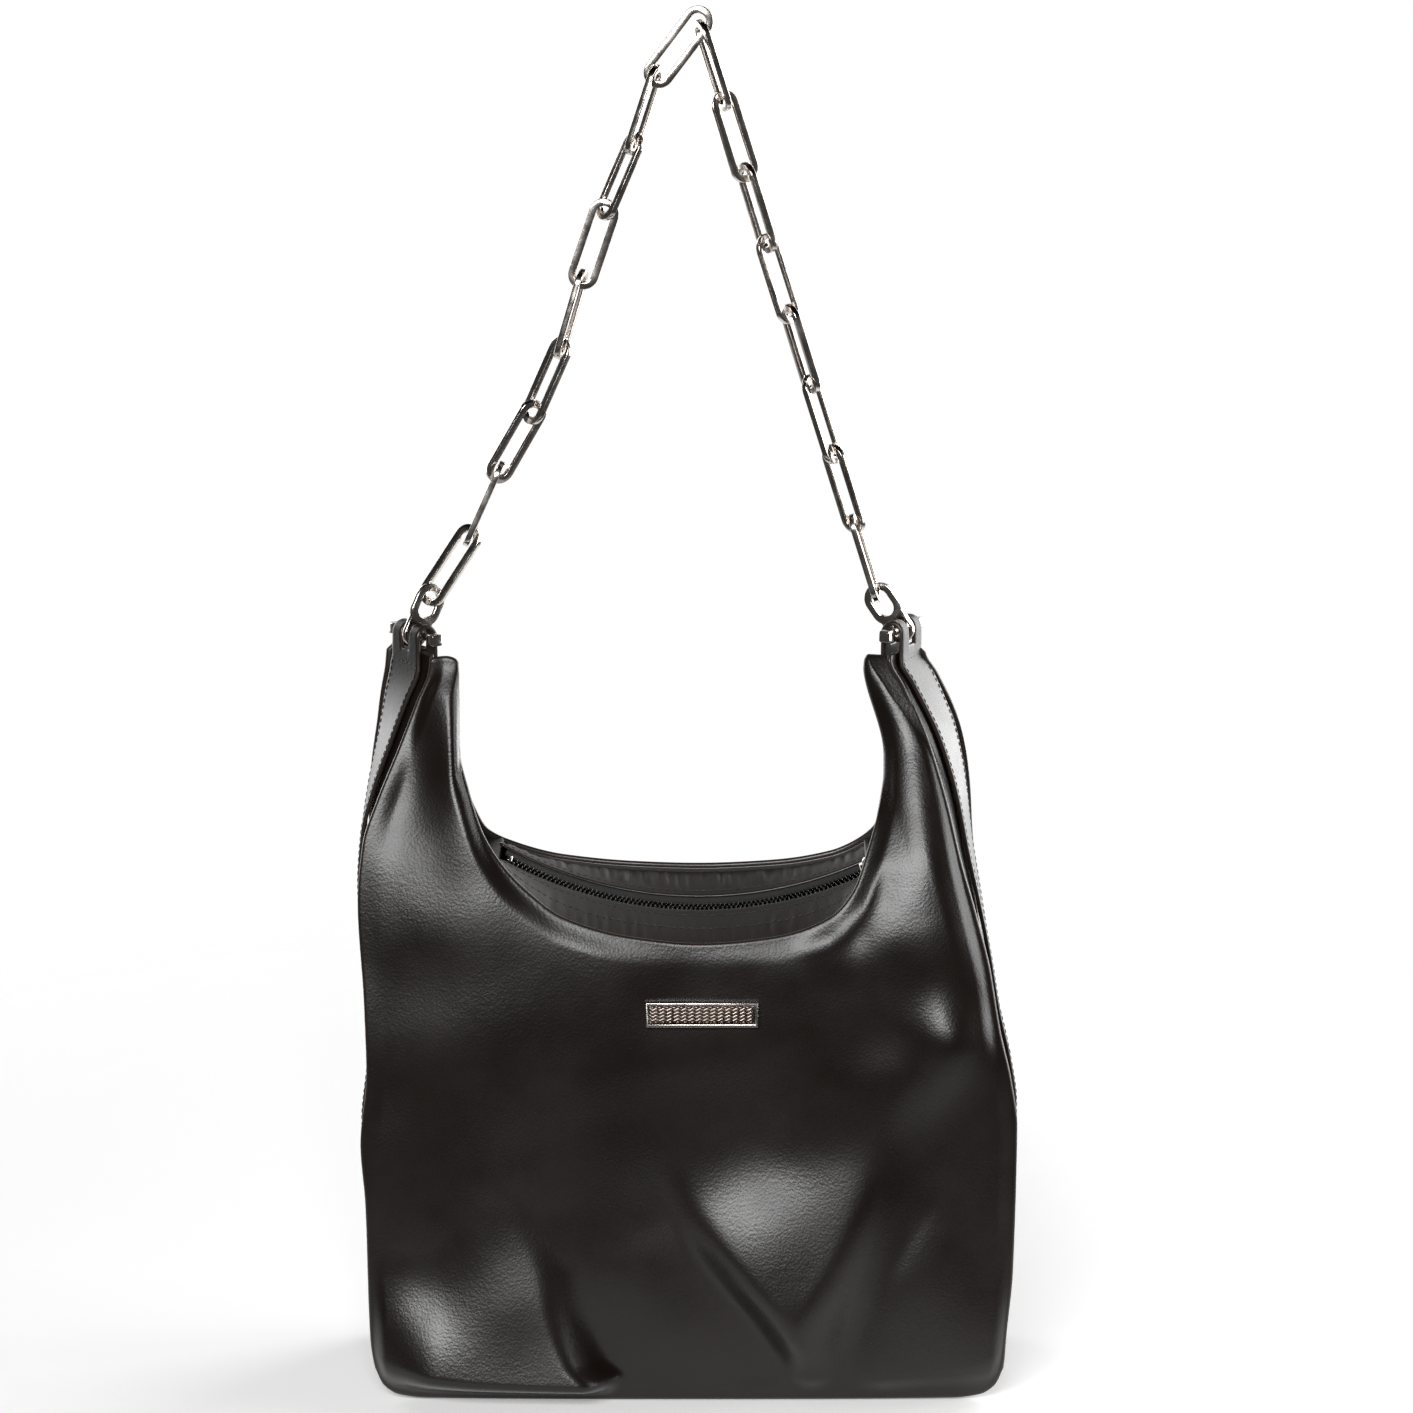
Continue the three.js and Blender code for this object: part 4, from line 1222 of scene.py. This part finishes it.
def close_copy(obj, bm, material, sharp):
    bm.to_mesh(obj.data)
    bm.free()
    obj.data.materials.clear()
    obj.data.materials.append(material)
    smooth_shade(obj.data, sharp)


FLAT, CORNER = math.radians(1), math.radians(30)


def rounded_copy(name, node, width):
    """The CAD node's own shape in metal, with its corners bevelled by width mm, leaning like
    the zip if it belongs to it."""
    obj, bm = node_copy(name, node)
    bmesh.ops.dissolve_limit(bm, angle_limit=FLAT, verts=bm.verts, edges=bm.edges)
    closed = [e for e in bm.edges if len(e.link_faces) == 2]
    corners = [e for e in closed if e.calc_face_angle() > CORNER]
    bmesh.ops.bevel(bm, geom=corners, offset=width * MM, segments=2, profile=0.6, affect="EDGES")
    if node.startswith("zip"):
        for vertex in bm.verts:
            vertex.co = (zip_tilt(np.array(vertex.co) / MM - ORIGIN) + ORIGIN) * MM
    close_copy(obj, bm, METAL, 35)
    hand_over(obj, node if node in frame["bodies"] else "bag", node)


ROD_RADIUS, ROD_CHAMFER = 1.5, 0.3
CAP_BEVEL = 0.35
DOME_SHARE, DOME_POWER, DOME_TIP = 0.8, 0.6, 0.1
BEVELS = {
    "zip_slider": 0.15,
    "zip_pull": 0.18,
    "zip_stop_left": 0.2,
    "zip_stop_right": 0.2,
    "nameplate_frame": 0.22,
}


def strap_rod(name):
    points = node_points(f"{name}_rod")
    along = own_axes(points)[:, 2]
    half = np.ptp(points @ along) / 2
    neck, shoulder = ROD_RADIUS - ROD_CHAMFER, half - ROD_CHAMFER
    profile = [(neck, -half), (ROD_RADIUS, -shoulder), (ROD_RADIUS, shoulder), (neck, half)]
    turned(f"{name}_strap_rod", profile, along, f"{name}_rod", 24)


def stud_profile(radius, height):
    """A flattened dome with a short straight rim above it."""
    turns = np.radians(np.arange(0, 91, 10))
    radii = np.maximum(radius * np.sin(turns) ** DOME_POWER, DOME_TIP)
    heights = height * (DOME_SHARE * (1 - np.cos(turns)) - 0.5)
    return [*zip(radii, heights), (radius, height / 2)]


def foot(node):
    low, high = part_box(node)
    profile = stud_profile((high[0] - low[0]) / MM / 2, (high[2] - low[2]) / MM)
    turned(f"{node}_stud", profile, (0, 0, 1), node, 32)


for name in SIDES:
    strap_rod(name)
    for end in FACES:
        node = f"{name}_rod_cap_{end}"
        rounded_copy(f"{node}_block", node, CAP_BEVEL)
for end in FACES:
    for name in SIDES:
        foot(f"foot_{end}_{name}")
for node, width in BEVELS.items():
    rounded_copy(f"{node}_smooth", node, width)

# ------------------------------ nameplate field
WAVE_ROWS, WAVE_LENGTH, WAVE_DEPTH, WAVE_WANDER = 5, 3.2, 0.5, 0.34
WAVE_SHARPNESS = 0.7
FIELD_THICK = 0.6
FIELD_EDGE = (0.03, 0.08)  # shares of its width and height over which the waves set in


def nameplate_field():
    """Plain wavy ribs in place of the mark."""
    points = node_points("nameplate_field")
    centre = (points.max(axis=0) + points.min(axis=0)) / 2 - ORIGIN
    thin, high, wide = own_axes(points).T
    axes = (wide * np.sign(wide[0]), high * np.sign(high[2]), thin * -np.sign(thin[1]))
    half_w, half_h, half_t = (np.ptp(points @ axis) / 2 for axis in axes)

    def at(u, v):
        x, z = mix(-half_w, half_w, u), mix(-half_h, half_h, v)
        wander = WAVE_WANDER * np.sin(2 * math.pi * x / WAVE_LENGTH)
        rib = np.abs(np.sin(math.pi * (z + wander) / (2 * half_h) * WAVE_ROWS)) ** WAVE_SHARPNESS
        for share, edge in zip((u, v), FIELD_EDGE):
            rib = rib * smooth(0, edge, share) * smooth(0, edge, 1 - share)
        out = half_t - FIELD_THICK / 2 - WAVE_DEPTH + WAVE_DEPTH * rib
        return centre + sum(d[..., None] * axis for d, axis in zip((x, z, out), axes))

    sheet_piece(
        "nameplate_waves", at, steps(321), steps(81), FIELD_THICK, [PEWTER],
        "nameplate_field",
    )


nameplate_field()

# ------------------------------ lining
LINING_CELL = 9
LINING_WALL = (0.35, 0.75)  # shares of the half depth over which the walls begin to move


def hanging_copy(name, node):
    """The CAD node with its walls moved in where the leather outside is dented."""
    obj, bm = node_copy(name, node)
    long_edges = [e for e in bm.edges if e.calc_length() > LINING_CELL * MM]
    bmesh.ops.subdivide_edges(bm, edges=long_edges, cuts=2, use_grid_fill=True)
    bmesh.ops.triangulate(bm, faces=bm.faces)
    place = np.array([v.co for v in bm.verts]) / MM - ORIGIN
    for back in (-1, 1):
        x, y, z = place.T
        dent = np.minimum(relief(x, z, back), 0)
        share = smooth(*LINING_WALL, back * y / half_depth(z)[..., 0])
        place[:, 1] += back * dent * share
    for vertex, spot in zip(bm.verts, (place + ORIGIN) * MM):
        vertex.co = spot
    close_copy(obj, bm, LINING, 40)
    hand_over(obj, node=node)


for node in ("lining", "inner_pocket"):
    hanging_copy(f"{node}_cloth", node)

# ------------------------------ carried-over CAD nodes
for node, material in (("base_panel", BODY_LEATHER), ("base_board", BOARD)):
    for slot_holder in frame["nodes"][node].material_slots:
        slot_holder.material = material

# ------------------------------ floor, light and camera
FLOOR_REACH = 640  # mm
FLOOR_BACK = 260  # how far its middle lies behind the bag
FLOOR_FADE = 0.45  # share of the floor's radius over which it fades into the background
FLOOR_GONE = 0.98  # share of its radius beyond which nothing of it shows
FLOOR_SIDES = 96
FLOOR_GREY, WHITE = (0.9, 0.9, 0.9, 1), (1, 1, 1, 1)

AIM = Vector((7.3, 0.0, 304.3)) * MM + Vector(ORIGIN) * MM
CAMERA_DISTANCE = 2.4
CAMERA_ELEVATION = 12
CAMERA_FIELD = math.radians(14.8)

LIT = Vector((0.0, 0.0, 0.22))
LIGHTS = [
    # name, azimuth, elevation, distance m, width, height, watts
    ("key", -12, 24, 1.8, 1.0, 0.6, 30),
    ("side_right", 94, 8, 1.5, 0.7, 1.0, 13),
    ("rim_right", 134, 12, 1.5, 0.9, 1.2, 21),
    ("rim_left", -138, 12, 1.6, 0.9, 1.2, 9),
]


def pale_floor():
    """A matt disc that fades out towards its rim."""
    material, m = new_material("pale_floor")
    radius = m.add("VectorMath")
    radius.operation = "LENGTH"
    m.give(radius, 0, m.add("TexCoord").outputs["Object"])
    reach = FLOOR_REACH * MM
    rim = (reach * (1 - FLOOR_FADE), reach * FLOOR_GONE)
    m.set(Base_Color=FLOOR_GREY, Roughness=0.9, Emission_Color=WHITE, Emission_Strength=0.25)
    m.set(Alpha=m.ramp(radius.outputs["Value"], 1, 0, rim))
    turns = np.linspace(0, 2 * math.pi, FLOOR_SIDES + 1)[:-1]
    disc = FLOOR_REACH * np.column_stack([np.cos(turns), np.sin(turns), 0 * turns])
    floor = mesh_object("floor", disc - ORIGIN, [range(FLOOR_SIDES)], [material])
    floor.location.y = FLOOR_BACK * MM


def aimed(name, data, target, distance, azimuth, elevation):
    """An object that looks at target: azimuth 0 is in front of the bag, 90 to its right."""
    a, e = math.radians(azimuth), math.radians(elevation)
    away = Vector((math.sin(a) * math.cos(e), -math.cos(a) * math.cos(e), math.sin(e)))
    obj = add_object(name, data)
    obj.location = target + distance * away
    obj.rotation_euler = (target - obj.location).to_track_quat("-Z", "Y").to_euler()
    return obj


def studio_world():
    """White to the camera. What the bag mirrors is dark in front and above, and pale behind
    and near the floor."""
    world = bpy.data.worlds.new("studio")
    bpy.context.scene.world = world
    world.use_nodes = True
    m = Shading(world.node_tree, "Background")
    parts = m.add("SeparateXYZ", Vector=m.add("TexCoord").outputs["Generated"])
    glow = m.add("Math")
    glow.operation = "MULTIPLY"
    m.give(glow, 0, m.ramp(parts.outputs["Y"], 0.05, 0.9, (0.4, 0.85)))
    m.give(glow, 1, m.ramp(parts.outputs["Z"], 1, 0.04, (0.2, 0.5)))
    seen = m.add("LightPath").outputs["Is Camera Ray"]
    strength = m.add("Mix", Factor=seen, A=glow.outputs["Value"], B=1.0)
    m.set(Color=WHITE, Strength=strength.outputs["Result"])


pale_floor()
camera_data = bpy.data.cameras.new("camera")
camera_data.angle = CAMERA_FIELD
bpy.context.scene.camera = aimed(
    "camera", camera_data, AIM, CAMERA_DISTANCE, 0, CAMERA_ELEVATION
)
for name, azimuth, elevation, distance, width, height, watts in LIGHTS:
    data = bpy.data.lights.new(name, "AREA")
    data.shape = "RECTANGLE"
    data.size, data.size_y = width, height
    data.energy = watts
    aimed(name, data, LIT, distance, azimuth, elevation)
studio_world()
bpy.context.scene.view_settings.view_transform = "Standard"
